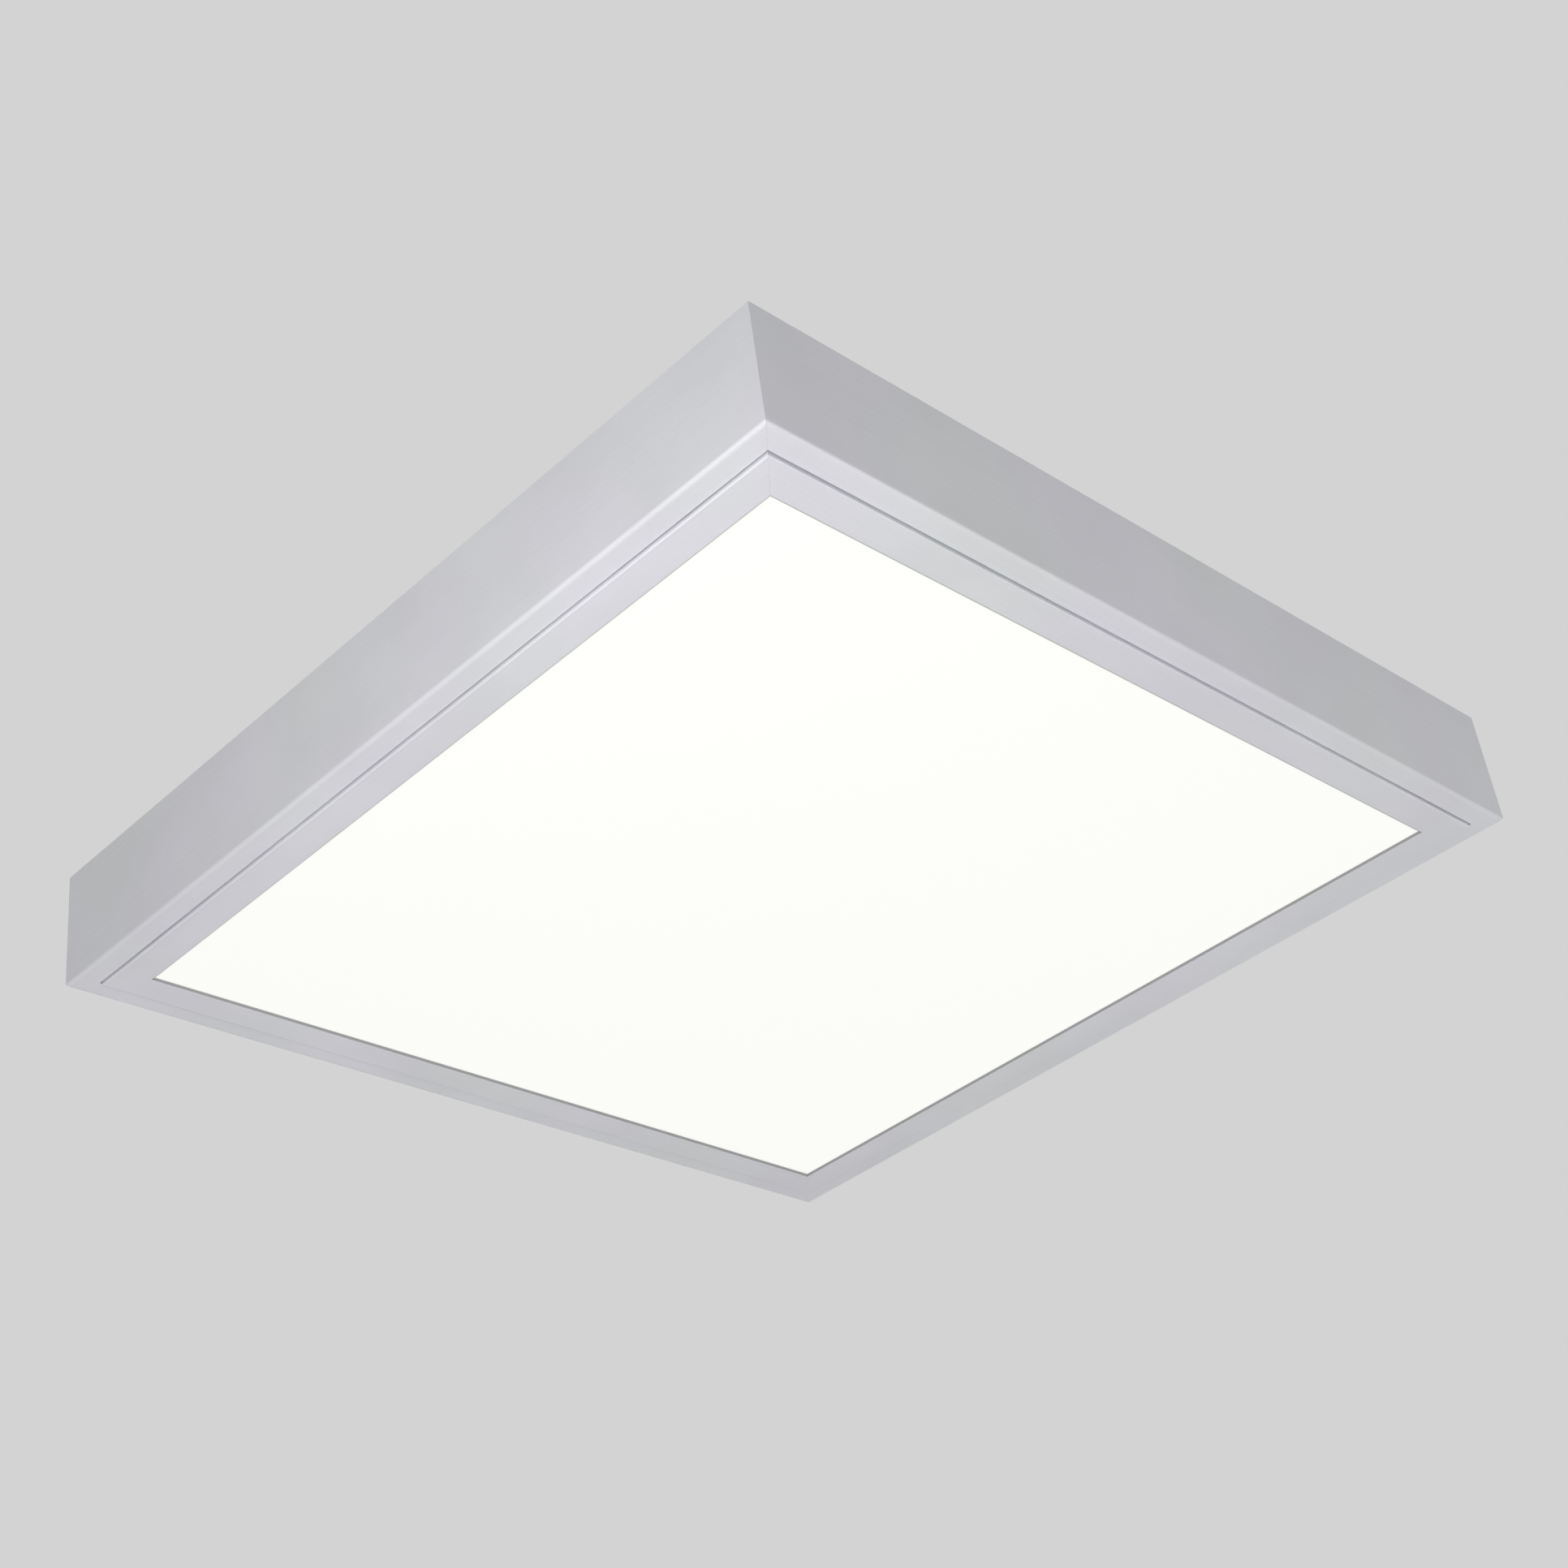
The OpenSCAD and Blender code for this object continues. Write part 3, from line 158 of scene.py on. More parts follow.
class Finish:
    """A node material, or the world, with short ways to add its nodes."""

    def __init__(self, name, tree=None):
        if tree is None:
            self.material = bpy.data.materials.new(name)
            self.material.use_nodes = True
            tree = self.material.node_tree
        self.tree = tree
        self.tree.nodes.clear()

    def node(self, kind, settings=None, inputs=None):
        """Adds a node with its settings, and feeds its inputs."""
        made = self.tree.nodes.new(kind)
        for key, value in (settings or {}).items():
            setattr(made, key, value)
        for key, value in (inputs or {}).items():
            self.feed(made.inputs[key], value)
        return made

    def feed(self, socket, value):
        """Links a term to a socket, or sets a plain value on it."""
        if isinstance(value, Term):
            self.tree.links.new(value.output, socket)
        else:
            socket.default_value = value

    def term(self, made, output=0):
        """An output of a node."""
        return Term(self, made.outputs[output])

    def maths(self, operation, *values):
        """The result of a Math node."""
        inputs = dict(enumerate(values))
        return self.term(self.node("ShaderNodeMath", {"operation": operation}, inputs))

    def place(self, scale=(1, 1, 1)):
        """Object coordinates, scaled per axis."""
        spot = self.term(self.node("ShaderNodeTexCoord"), "Object")
        return self.term(self.node("ShaderNodeMapping", None, {"Vector": spot, "Scale": scale}))

    def axes(self, vector):
        """The three parts of a vector or colour."""
        split = self.node("ShaderNodeSeparateXYZ", None, {"Vector": vector})
        return [self.term(split, i) for i in range(3)]

    def noise(self, scale=1.0, stretch=(1, 1, 1), detail=2.0, rough=0.5):
        """Soft noise between 0 and 1, finer along an axis with a larger stretch."""
        made = self.node("ShaderNodeTexNoise", {"noise_dimensions": "3D"},
                         {"Vector": self.place(stretch), "Scale": scale, "Detail": detail,
                          "Roughness": rough})
        return self.term(made, "Fac")

    def cells(self, scale):
        """Cells with a random colour each."""
        made = self.node("ShaderNodeTexVoronoi", {"feature": "F1"},
                         {"Vector": self.place(), "Scale": scale, "Randomness": 1.0})
        return self.term(made, "Color")

    def spread(self, value, low, high, to_low=0.0, to_high=1.0):
        """Maps low..high onto to_low..to_high, smoothly and clamped."""
        made = self.node("ShaderNodeMapRange",
                         {"interpolation_type": "SMOOTHSTEP", "clamp": True},
                         {"Value": value, "From Min": low, "From Max": high,
                          "To Min": to_low, "To Max": to_high})
        return self.term(made)

    def mix(self, factor, first, second):
        """The first colour at a factor of 0, the second at 1."""
        made = self.node("ShaderNodeMix", {"data_type": "RGBA"})
        self.feed(made.inputs[MIX_FACTOR], factor)
        self.feed(made.inputs[MIX_FIRST], first)
        self.feed(made.inputs[MIX_SECOND], second)
        return Term(self, made.outputs[MIX_RESULT])

    def shades(self, colour, pattern, dark, pale, low=0.35, high=0.65):
        """A colour from dark to pale times itself, as a pattern goes from low to high."""
        return self.mix(self.spread(pattern, low, high), rgba(colour, dark), rgba(colour, pale))

    def bump(self, height, distance, strength):
        """A normal that follows a height, whose full range is a distance in metres."""
        return self.term(self.node("ShaderNodeBump", None,
                                   {"Height": height, "Distance": distance, "Strength": strength}))

    def surface(self, **values):
        """Ends the material in one Principled shader, with inputs named as in base_color."""
        names = {key: key.replace("_", " ").title().replace("Ior", "IOR") for key in values}
        inputs = {names[key]: values[key] for key in values}
        self.out(self.term(self.node("ShaderNodeBsdfPrincipled", None, inputs)))
        return self.material

    def out(self, shader):
        """Makes a shader the material's surface."""
        self.node("ShaderNodeOutputMaterial", None, {"Surface": shader})


def rgba(colour, factor=1.0):
    """A colour times a factor, for a node."""
    return (colour[0] * factor, colour[1] * factor, colour[2] * factor, 1.0)


def grey(level):
    """A neutral colour, for a node."""
    return (level, level, level, 1.0)


def about(level, depth, pattern):
    """A value that wavers about a level with a pattern between 0 and 1."""
    return level + depth * (pattern - 0.5)


# Metals


def opening_depth(finish):
    """How far a point lies outside the square opening of the panel frame, below zero inside it."""
    opening = -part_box("panel_bar_right")[1].y
    x, y, _ = finish.axes(finish.place())
    return x.size().maths("MAXIMUM", y.size()) - opening


def extruded_aluminium(name, along, painted_shade_line=False):
    """Satin anodised extrusion: die lines along its length, a faint cloudy shade and a faint tint.
    A panel bar has painted shade: a dark line along its inner edge, where it meets the diffuser."""
    look = bpy.context.scene.light_finish
    finish = Finish(name)
    stretch = [1.0 if axis == along else look.die_lines for axis in "xyz"]
    lines = finish.noise(1.0, stretch, detail=3.0, rough=0.6)
    cloud = finish.noise(16.0, detail=3.0)
    drift = finish.noise(7.0, detail=1.0)
    specks = finish.noise(700.0, detail=1.0)
    shade = finish.spread(0.55 * cloud + 0.3 * lines + 0.15 * specks, low=0.36, high=0.64)
    tint = finish.mix(finish.spread(drift, low=0.35, high=0.65),
                      rgba(look.aluminium), rgba(look.aluminium_cool))
    colour = finish.mix(shade, finish.mix(look.cloud_depth, tint, grey(0.0)), tint)
    # Painted shade: next to the diffuser, a panel bar's inner edge darkens to a set colour over a
    # set width, in place of the shade in the frame's return
    if painted_shade_line:
        clear = finish.spread(opening_depth(finish), 0.5 * look.painted_shade_line, look.painted_shade_line)
        colour = finish.mix(clear, rgba(look.painted_shade_colour), colour)
    rough = about(about(look.aluminium_roughness, 0.08, cloud), 0.08, lines)
    relief = 0.7 * lines + 0.3 * specks
    return finish.surface(base_color=colour, metallic=look.aluminium_metallic, roughness=rough,
                          normal=finish.bump(relief, distance=0.00004, strength=0.3))


def plated_steel(name, colour, roughness, grain=160.0):
    """Bright zinc or nickel plate with a fine grain."""
    finish = Finish(name)
    grain_map = finish.noise(grain, detail=3.0)
    cloud = finish.noise(35.0)
    tone = finish.shades(colour, cloud, dark=0.86, pale=1.08)
    rough = about(roughness, 0.16, grain_map)
    return finish.surface(base_color=tone, metallic=0.95, roughness=rough,
                          normal=finish.bump(grain_map, distance=0.00005, strength=0.3))


def spangled_steel(name, colour):
    """Galvanised sheet with its crystal pattern."""
    finish = Finish(name)
    crystals = finish.axes(finish.cells(170.0))[0]
    fine = finish.noise(260.0)
    tone = finish.mix(crystals, rgba(colour, 0.90), rgba(colour, 1.04))
    relief = 0.6 * crystals + 0.4 * fine
    return finish.surface(base_color=tone, metallic=0.75, roughness=0.36 + 0.12 * crystals,
                          normal=finish.bump(relief, distance=0.00003, strength=0.25))


def powder_coat(name, colour):
    """White powder coat on thin sheet, with its orange peel."""
    finish = Finish(name)
    peel = finish.noise(900.0, detail=1.5)
    dust = finish.noise(7.0, detail=4.0)
    tone = finish.shades(colour, dust, dark=0.96, pale=1.02, high=0.7)
    return finish.surface(base_color=tone, metallic=0.0, roughness=about(0.44, 0.1, peel),
                          normal=finish.bump(peel, distance=0.00008, strength=0.3))


# Plastics and sheets


def moulded(name, colour, roughness, sheen=0.0):
    """Injection moulded plastic with a fine spark eroded skin."""
    finish = Finish(name)
    skin = finish.noise(1500.0)
    cloud = finish.noise(40.0)
    tone = finish.shades(colour, cloud, dark=0.94, pale=1.05)
    return finish.surface(base_color=tone, roughness=about(roughness, 0.12, skin),
                          sheen_weight=sheen,
                          normal=finish.bump(skin, distance=0.00005, strength=0.35))


def opal_sheet(name):
    """The lit diffuser: an even glow with a thin dark line where the frame's edge shades it."""
    look = bpy.context.scene.light_finish
    finish = Finish(name)
    lit = finish.spread(opening_depth(finish), -look.edge_shade, -0.5 * look.edge_shade,
                        to_low=1.0, to_high=0.0)
    grain = finish.noise(1200.0, detail=1.0)
    sheet = finish.mix(lit, rgba(look.opal, BORDER_SHEET), rgba(look.opal))
    glow = finish.mix(lit, rgba(look.glow, BORDER_GLOW * look.glow_level),
                      rgba(look.glow, look.glow_level))
    return finish.surface(base_color=sheet, roughness=about(0.45, 0.1, grain),
                          emission_color=glow, emission_strength=1.0,
                          normal=finish.bump(grain, distance=0.00004, strength=0.2))


def clear_sheet(name):
    """The acrylic light guide with its printed extraction dots."""
    finish = Finish(name)
    x, y, _ = finish.axes(finish.place())
    waves = math.tau / DOT_PITCH
    dots = finish.spread((x * waves).maths("SINE") * (y * waves).maths("SINE"), low=0.55, high=0.8)
    tone = finish.mix(dots, (0.86, 0.93, 0.93, 1.0), grey(0.97))
    return finish.surface(base_color=tone, roughness=0.12 + 0.3 * dots,
                          transmission_weight=0.4, ior=1.49)


def soft_sheet(name, colour, cell):
    """Film or foam with a fine closed cell surface."""
    finish = Finish(name)
    cells = finish.axes(finish.cells(cell))[1]
    tone = finish.mix(cells, rgba(colour, 0.94), rgba(colour, 1.02))
    return finish.surface(base_color=tone, roughness=about(0.75, 0.1, cells),
                          normal=finish.bump(cells, distance=0.0001, strength=0.3))


def circuit_board(name, colour, track):
    """Solder mask with faint tracks under it."""
    finish = Finish(name)
    x, y, _ = finish.axes(finish.place())
    wander = TRACK_WANDER * finish.noise(60.0, detail=0.0)
    tracks = ((x + wander) * (math.tau / TRACK_PITCH)).maths("SINE")
    tone = finish.mix(finish.spread(tracks, low=0.55, high=0.75), rgba(colour), rgba(track))
    rough = 0.3 + 0.15 * finish.noise(300.0)
    return finish.surface(base_color=tone, roughness=rough, coat_weight=0.3)


def phosphor(name):
    """Yellow gel of the LEDs, faintly lit."""
    finish = Finish(name)
    grain = finish.noise(2500.0, detail=1.0)
    tone = finish.mix(grain, (0.90, 0.68, 0.16, 1.0), (1.0, 0.85, 0.32, 1.0))
    return finish.surface(base_color=tone, roughness=0.25 + 0.1 * grain,
                          emission_color=(1.0, 0.93, 0.75, 1.0), emission_strength=0.6)


def wound_wire(name, colour, pitch):
    """Enamelled wire laid turn by turn, with painted shade in the grooves between turns and a
    painted highlight on their crests.
    """
    finish = Finish(name)
    _, _, z = finish.axes(finish.place())
    turns = (z * (math.tau / pitch)).maths("SINE")
    # Painted shade and highlight: darker in the grooves between the turns, paler on their crests
    tone = finish.shades(colour, turns, dark=0.6, pale=1.1, low=-1.0, high=1.0)
    return finish.surface(base_color=tone, metallic=0.6, roughness=0.32 + 0.1 * finish.noise(500.0),
                          normal=finish.bump(turns, distance=0.2 * pitch, strength=0.6))


# The CAD nodes by finish

RAILS = {"x": ["rail_right", "rail_left"], "y": ["rail_hinge_side", "rail_catch_side"]}
BARS = {"x": ["panel_bar_right", "panel_bar_left"],
        "y": ["panel_bar_hinge_side", "panel_bar_catch_side"]}
BRIGHT = ["corner_brackets_lower", "corner_brackets_upper", "panel_corner_keys",
          "pivot_bracket_right", "pivot_bracket_left", "striker_right", "striker_left"]
ZINC = ["corner_grub_screws", "slot_nuts", "slot_screws", "panel_corner_screws",
        "back_plate_screws", "bracket_screws", "driver_screws", "mains_terminal_screws"]
DIE_CAST = ["hinge_block_right", "hinge_block_left", "hinge_pin_right", "hinge_pin_left"]
SPRINGS = ["catch_spring_right", "catch_spring_left"]


def dress(names, material):
    """Puts one material on CAD nodes."""
    for name in names:
        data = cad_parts[name].data
        data.materials.clear()
        data.materials.append(material)


def clear_selection():
    """Leaves any edit mode and selects nothing, before an object is added."""
    if bpy.context.object and bpy.context.object.mode != "OBJECT":
        bpy.ops.object.mode_set(mode="OBJECT")
    bpy.ops.object.select_all(action="DESELECT")


def settle(piece, name, material, body):
    """Names a finished piece, keeps its place in its mesh and lets it ride on its body."""
    piece.name = name
    piece.data.name = name
    piece.data.materials.clear()
    piece.data.materials.append(material)
    piece.data.transform(piece.matrix_world)
    piece.matrix_world = Matrix.Identity(4)
    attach(piece, body)
    return piece


def bezier_stops(corners, turn):
    """Bezier points of a route with quarter round corners: (point, left handle, right handle)."""
    reach = CIRCLE_HANDLE * turn
    stops = [(corners[0], corners[0], corners[0])]
    for before, corner, after in zip(corners, corners[1:], corners[2:]):
        back = (before - corner).normalized()
        onward = (after - corner).normalized()
        enter, leave = corner + back * turn, corner + onward * turn
        stops.append((enter, enter + back * reach, enter - back * reach))
        stops.append((leave, leave - onward * reach, leave + onward * reach))
    stops.append((corners[-1], corners[-1], corners[-1]))
    return stops


def smooth_lead(name, route, radius, turn, material):
    """A round lead or wire along its route, in place of a faceted CAD solid."""
    clear_selection()
    stops = bezier_stops([Vector(corner) * MM for corner in route], turn * MM)
    bpy.ops.curve.primitive_bezier_curve_add(location=(0, 0, 0))
    curve = bpy.context.object
    curve.data.dimensions = "3D"
    spline = curve.data.splines[0]
    spline.bezier_points.add(len(stops) - len(spline.bezier_points))
    for point, (spot, left, right) in zip(spline.bezier_points, stops):
        point.handle_left_type = point.handle_right_type = "FREE"
        point.co, point.handle_left, point.handle_right = spot, left, right
    curve.data.resolution_u = TURN_STEPS
    curve.data.bevel_depth = radius * MM
    curve.data.bevel_resolution = BEVEL_RESOLUTION
    curve.data.use_fill_caps = True
    bpy.ops.object.convert(target="MESH")
    lead = bpy.context.object
    bpy.ops.object.shade_smooth_by_angle(angle=SHARP_ANGLE)
    return settle(lead, name, material, PANEL)


class LightFinish(bpy.types.PropertyGroup):
    """Colours and surface values of the light."""

    aluminium: FloatVectorProperty(
        name="Aluminium", description="Colour of the anodised aluminium", subtype="COLOR",
        size=3, min=0.0, max=1.0, default=(0.780, 0.775, 0.825))
    aluminium_cool: FloatVectorProperty(
        name="Cool Aluminium", description="Tint that the aluminium drifts to in patches",
        subtype="COLOR", size=3, min=0.0, max=1.0, default=(0.765, 0.780, 0.795))
    cloud_depth: FloatProperty(
        name="Cloud Depth", description="How much darker the cloudy patches of the aluminium are",
        subtype="FACTOR", min=0.0, max=0.3, default=0.05)
    aluminium_roughness: FloatProperty(
        name="Aluminium Roughness", description="How matt the anodised surface is",
        subtype="FACTOR", min=0.1, max=0.8, default=0.58)
    aluminium_metallic: FloatProperty(
        name="Aluminium Metallic", description="How far the surface reflects as bare metal",
        subtype="FACTOR", min=0.0, max=1.0, default=0.25)
    die_lines: FloatProperty(
        name="Die Lines", description="How many die lines there are across a metre of an extrusion",
        min=100.0, max=4000.0, default=900.0)
    glow: FloatVectorProperty(
        name="Glow", description="Colour of the lit diffuser", subtype="COLOR",
        size=3, min=0.0, max=1.0, default=(0.99, 1.0, 0.955))
    glow_level: FloatProperty(
        name="Glow Level", description="How strongly the diffuser glows", subtype="FACTOR",
        min=0.0, max=1.0, default=0.758)
    opal: FloatVectorProperty(
        name="Opal", description="Colour of the diffuser's sheet when it is off", subtype="COLOR",
        size=3, min=0.0, max=1.0, default=(0.25, 0.25, 0.243))
    edge_shade: FloatProperty(
        name="Edge Shade", description="Width of the shaded border of the diffuser", unit="LENGTH",
        min=0.0, max=0.005, default=0.0016)
    # Painted shade along the panel frame's inner edge, next to the diffuser: its width
    painted_shade_line: FloatProperty(
        name="Edge Line", description="Width of the dark line along the frame's inner edge",
        unit="LENGTH", min=0.0, max=0.003, default=0.0006)
    # Painted shade along the panel frame's inner edge: its colour
    painted_shade_colour: FloatVectorProperty(
        name="Edge Colour", description="Colour of the frame's dark inner edge", subtype="COLOR",
        size=3, min=0.0, max=1.0, default=(0.39, 0.39, 0.41))
    sheet_white: FloatVectorProperty(
        name="Sheet White", description="Colour of the coated back plate", subtype="COLOR",
        size=3, min=0.0, max=1.0, default=(0.78, 0.78, 0.79))


class LightStudio(bpy.types.PropertyGroup):
    """Lamps, background and camera."""

    background: FloatProperty(
        name="Background", description="Brightness of the plain background", subtype="FACTOR",
        min=0.0, max=1.0, default=0.651)
    ambient: FloatProperty(
        name="Ambient", description="Soft light from all round", subtype="FACTOR",
        min=0.0, max=2.0, default=0.300)
    key_power: FloatProperty(
        name="Key Power", description="Power of the large lamp low on the catch side", unit="POWER",
        min=0.0, max=200.0, default=15.8)
    far_power: FloatProperty(
        name="Far Power", description="Power of the lamp below the far half", unit="POWER",
        min=0.0, max=200.0, default=1.66)
    left_power: FloatProperty(
        name="Left Power", description="Power of the small lamp beside the catch side",
        unit="POWER", min=0.0, max=200.0, default=1.0)
    right_power: FloatProperty(
        name="Right Power", description="Power of the lamp low beside the right side",
        unit="POWER", min=0.0, max=200.0, default=10.1)
    back_power: FloatProperty(
        name="Back Power", description="Power of the lamp on the sides away from the camera",
        unit="POWER", min=0.0, max=200.0, default=13.0)
    top_power: FloatProperty(
        name="Top Power", description="Power of the lamp above the open back", unit="POWER",
        min=0.0, max=200.0, default=6.0)
    floor_depth: FloatProperty(
        name="Floor Depth", description="Distance from the ceiling to the floor", unit="LENGTH",
        min=1.5, max=4.0, default=2.4)
    camera_place: FloatVectorProperty(
        name="Camera Place", description="Where the photograph was taken from",
        subtype="TRANSLATION", unit="LENGTH", size=3, default=(-0.977, -0.898, -0.862))
    camera_heading: FloatProperty(
        name="Camera Heading", description="Heading of the camera, counted from +X towards +Y",
        subtype="ANGLE", default=math.radians(42.38))
    camera_rise: FloatProperty(
        name="Camera Rise", description="How far the camera looks up", subtype="ANGLE",
        default=math.radians(33.27))
    camera_roll: FloatProperty(
        name="Camera Roll", description="How far the camera leans to its right", subtype="ANGLE",
        default=math.radians(-7.95))
    camera_lens: FloatProperty(
        name="Camera Lens", description="Focal length in mm, on a sensor 36 mm wide",
        unit="CAMERA", min=20.0, max=200.0, default=60.12)


class LIGHT_OT_frame_metals(bpy.types.Operator):
    """Finish the housing rails, the panel frame and the fittings that hold them"""

    bl_idname = "light.frame_metals"
    bl_label = "Frame and Fittings"

    def execute(self, context):
        for along in "xy":
            dress(RAILS[along], extruded_aluminium("anodised_rail_" + along, along))
            # The panel bars carry the painted shade along their inner edge
            dress(BARS[along], extruded_aluminium("anodised_bar_" + along, along, painted_shade_line=True))
        dress(BRIGHT, plated_steel("bright_steel", (0.66, 0.67, 0.69), roughness=0.30))
        dress(ZINC, plated_steel("zinc_screws", (0.60, 0.62, 0.64), roughness=0.34, grain=300.0))
        dress(DIE_CAST,
              plated_steel("die_cast_zinc", (0.46, 0.47, 0.49), roughness=0.48, grain=220.0))
        dress(SPRINGS,
              plated_steel("spring_steel", (0.55, 0.56, 0.58), roughness=0.24, grain=120.0))
        dress(["panel_stops"], moulded("stop_nylon", (0.035, 0.035, 0.038), roughness=0.5))
        return {"FINISHED"}


class LIGHT_OT_light_stack(bpy.types.Operator):
    """Finish the diffuser, the sheets behind it, the LED boards and the back plate"""

    bl_idname = "light.light_stack"
    bl_label = "Light Stack"

    def execute(self, context):
        look = context.scene.light_finish
        dress(["diffuser"], opal_sheet("opal_diffuser"))
        dress(["light_guide"], clear_sheet("clear_acrylic"))
        dress(["reflector"], soft_sheet("reflector_film", (0.90, 0.90, 0.90), cell=900.0))
        dress(["foam_pad"], soft_sheet("white_foam", (0.86, 0.86, 0.85), cell=500.0))
        dress(["led_board_hinge_side", "led_board_catch_side"],
              circuit_board("led_board", (0.86, 0.86, 0.84), track=(0.78, 0.78, 0.75)))
        dress(["leds_hinge_side", "leds_catch_side"], phosphor("led_phosphor"))
        dress(["back_plate"], powder_coat("white_sheet", look.sheet_white))
        return {"FINISHED"}


class LIGHT_OT_driver(bpy.types.Operator):
    """Finish the driver's case, board and parts, and its terminal"""

    bl_idname = "light.driver"
    bl_label = "Driver"

    def execute(self, context):
        dress(["driver_tray", "driver_cover"], spangled_steel("driver_case", (0.62, 0.63, 0.64)))
        dress(["driver_board"],
              circuit_board("circuit_board", (0.03, 0.20, 0.08), track=(0.06, 0.30, 0.14)))
        dress(["driver_transformer"], moulded("ferrite", (0.05, 0.05, 0.055), roughness=0.6))
        dress(["driver_choke"], wound_wire("copper_winding", (0.62, 0.26, 0.10), WINDING_PITCH))
        dress(["driver_capacitors"],
              moulded("capacitor_sleeve", (0.03, 0.05, 0.14), roughness=0.3))
        dress(["driver_heat_sink"],
              plated_steel("sink_aluminium", (0.70, 0.71, 0.72), roughness=0.4))
        dress(["mains_terminal"], moulded("ivory_nylon", (0.70, 0.67, 0.58), roughness=0.42))
        dress(["driver_bush", "panel_boot"],
              moulded("black_nylon", (0.03, 0.03, 0.032), roughness=0.45))
        return {"FINISHED"}


class LIGHT_OT_leads(bpy.types.Operator):
    """Lay the smooth leads, and finish their connector and saddles"""

    bl_idname = "light.leads"
    bl_label = "Leads"

    def execute(self, context):
        sleeve = moulded("white_lead", (0.80, 0.80, 0.79), roughness=0.38, sheen=0.1)
        dress(["driver_lead", "panel_lead"], sleeve)
        for node, route in (("driver_lead", DRIVER_LEAD), ("panel_lead", PANEL_LEAD)):
            lead = smooth_lead(node + "_round", route, LEAD_RADIUS, LEAD_TURN, sleeve)
            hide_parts(node)
        dress(["lead_plug", "lead_socket", "lead_saddles"],
              moulded("white_nylon", (0.74, 0.74, 0.72), roughness=0.4))
        return {"FINISHED"}


class LIGHT_OT_thin_wires(bpy.types.Operator):
    """Lay the thin wires that feed the LED boards inside the panel"""

    bl_idname = "light.thin_wires"
    bl_label = "Thin Wires"

    def execute(self, context):
        enamel = moulded("red_wire", (0.45, 0.03, 0.02), roughness=0.35)
        dress(["feed_wires", "link_wire"], enamel)
        for name, route in zip(("feed_wire_minus", "feed_wire_plus"), FEED_WIRES):
            wire = smooth_lead(name, route, WIRE_RADIUS, WIRE_TURN, enamel)
            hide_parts("feed_wires")
        wire = smooth_lead("link_wire_round", LINK_WIRE, WIRE_RADIUS, WIRE_TURN, enamel)
        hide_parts("link_wire")
        return {"FINISHED"}


def area_lamp(name, place, target, size, power):
    """A disc lamp that faces its target and that the camera doesn't see."""
    clear_selection()
    bpy.ops.object.light_add(type="AREA", location=place)
    lamp = bpy.context.object
    lamp.name = name
    lamp.data.shape = "DISK"
    lamp.data.size = size
    lamp.data.energy = power
    aim = Vector(target) - Vector(place)
    lamp.rotation_euler = aim.to_track_quat("-Z", "Y").to_euler()
    lamp.visible_camera = False


def plain_world(studio):
    """Pale grey where the camera and reflections see it, softer where it lights the object."""
    world = bpy.data.worlds.new("studio")
    bpy.context.scene.world = world
    world.use_nodes = True
    finish = Finish("studio", world.node_tree)
    path = finish.node("ShaderNodeLightPath")
    seen = finish.maths("MAXIMUM", finish.term(path, "Is Camera Ray"),
                        finish.term(path, "Is Glossy Ray"))
    seen = finish.maths("MAXIMUM", seen, finish.term(path, "Is Transmission Ray"))
    soft = (studio.ambient, studio.ambient, studio.ambient * AMBIENT_BLUE, 1.0)
    shade = finish.mix(seen, soft, grey(studio.background))
    back = finish.node("ShaderNodeBackground", None, {"Color": shade, "Strength": 1.0})
    finish.node("ShaderNodeOutputWorld", None, {"Surface": finish.term(back)})


def plain_floor(studio):
    """A pale floor at room height under the light."""
    clear_selection()
    bpy.ops.mesh.primitive_circle_add(vertices=FLOOR_CORNERS, radius=FLOOR_RADIUS,
                                      fill_type="NGON", location=(0, 0, -studio.floor_depth))
    floor = bpy.context.object
    floor.name = "studio_floor"
    finish = Finish("studio_floor")
    grain = finish.noise(3.0, detail=3.0)
    tone = finish.mix(grain, grey(FLOOR_DARK), grey(FLOOR_PALE))
    seen = finish.term(finish.node("ShaderNodeLightPath"), "Is Camera Ray")
    lift = finish.mix(seen, grey(0.0), grey(FLOOR_LIFT))
    floor.data.materials.append(finish.surface(base_color=tone, roughness=0.8,
                                               emission_color=lift, emission_strength=1.0))


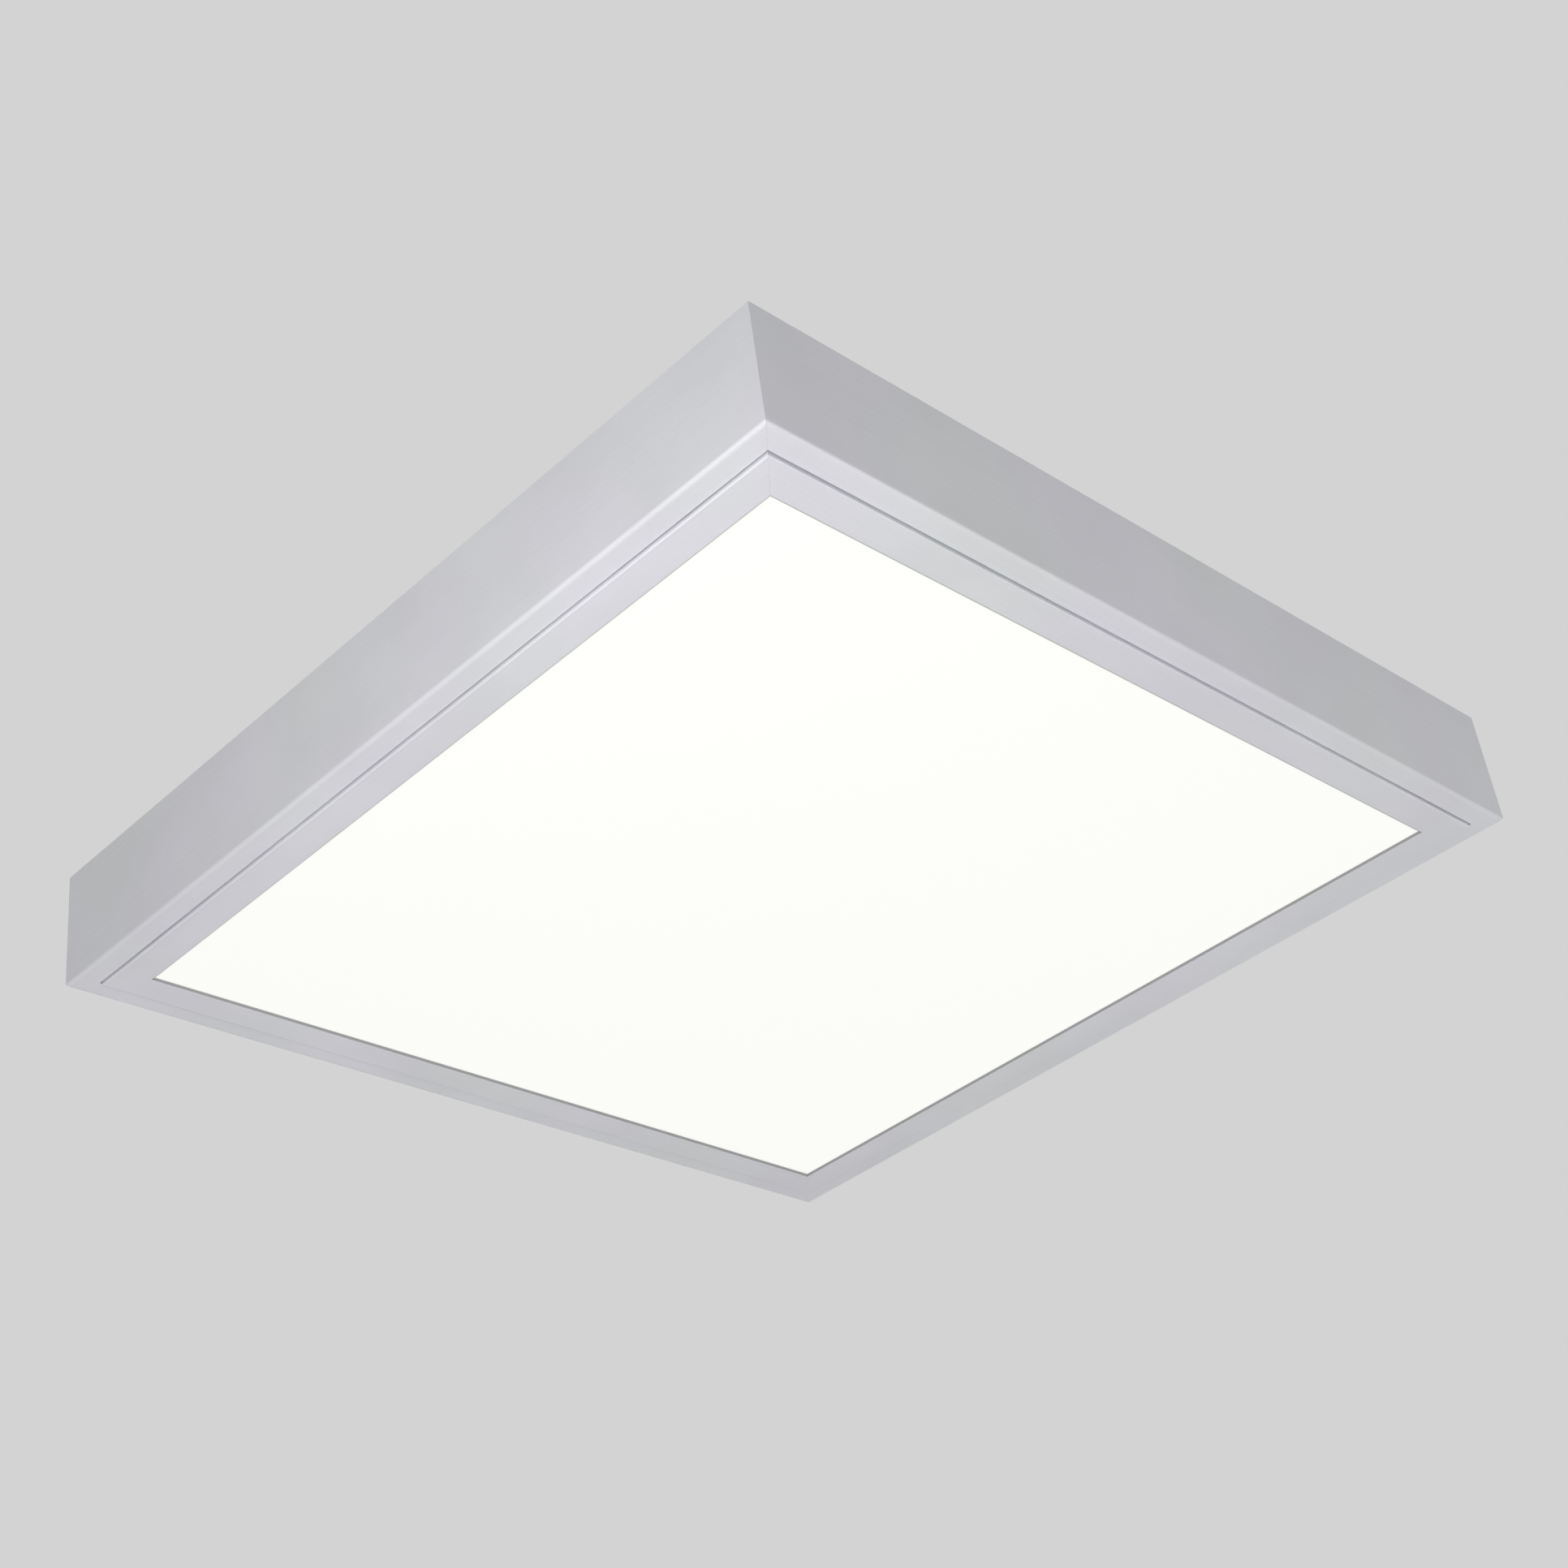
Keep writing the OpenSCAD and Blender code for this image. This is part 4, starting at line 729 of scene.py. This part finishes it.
def photo_camera(studio):
    """The camera of the photograph."""
    clear_selection()
    bpy.ops.object.camera_add(location=studio.camera_place)
    camera = bpy.context.object
    camera.name = "photo_camera"
    heading, rise = studio.camera_heading, studio.camera_rise
    look = Vector((math.cos(heading) * math.cos(rise), math.sin(heading) * math.cos(rise),
                   math.sin(rise)))
    turn = look.to_track_quat("-Z", "Y").to_matrix()
    camera.rotation_euler = (turn @ Matrix.Rotation(studio.camera_roll, 3, "Z")).to_euler()
    camera.data.lens = studio.camera_lens
    camera.data.sensor_width = SENSOR_WIDTH
    bpy.context.scene.camera = camera


class LIGHT_OT_stage(bpy.types.Operator):
    """Add the floor, the background, the lamps and the camera"""

    bl_idname = "light.stage"
    bl_label = "Stage"

    def execute(self, context):
        studio = context.scene.light_studio
        context.scene.view_settings.view_transform = "Standard"
        plain_world(studio)
        plain_floor(studio)
        for name, place, target, size in LAMPS:
            area_lamp(name + "_lamp", place, target, size, getattr(studio, name + "_power"))
        photo_camera(studio)
        return {"FINISHED"}


OPERATORS = [LIGHT_OT_frame_metals, LIGHT_OT_light_stack, LIGHT_OT_driver, LIGHT_OT_leads,
             LIGHT_OT_thin_wires, LIGHT_OT_stage]


class LIGHT_PT_panel(bpy.types.Panel):
    """Lists the steps that finish the light, and the values they use"""

    bl_idname = "LIGHT_PT_panel"
    bl_label = "Panel Light"
    bl_space_type = "VIEW_3D"
    bl_region_type = "UI"
    bl_category = "Panel Light"

    def draw(self, context):
        for group in (context.scene.light_finish, context.scene.light_studio):
            column = self.layout.column()
            for key in group.__annotations__:
                column.prop(group, key)
        for operator in OPERATORS:
            self.layout.operator(operator.bl_idname)


CLASSES = [LightFinish, LightStudio, *OPERATORS, LIGHT_PT_panel]


def register():
    for cls in CLASSES:
        bpy.utils.register_class(cls)
    bpy.types.Scene.light_finish = PointerProperty(type=LightFinish)
    bpy.types.Scene.light_studio = PointerProperty(type=LightStudio)


def unregister():
    del bpy.types.Scene.light_studio
    del bpy.types.Scene.light_finish
    for cls in reversed(CLASSES):
        bpy.utils.unregister_class(cls)


def main():
    register()
    bpy.ops.light.frame_metals()
    bpy.ops.light.light_stack()
    bpy.ops.light.driver()
    bpy.ops.light.leads()
    bpy.ops.light.thin_wires()
    bpy.ops.light.stage()


if __name__ == "__main__":
    main()
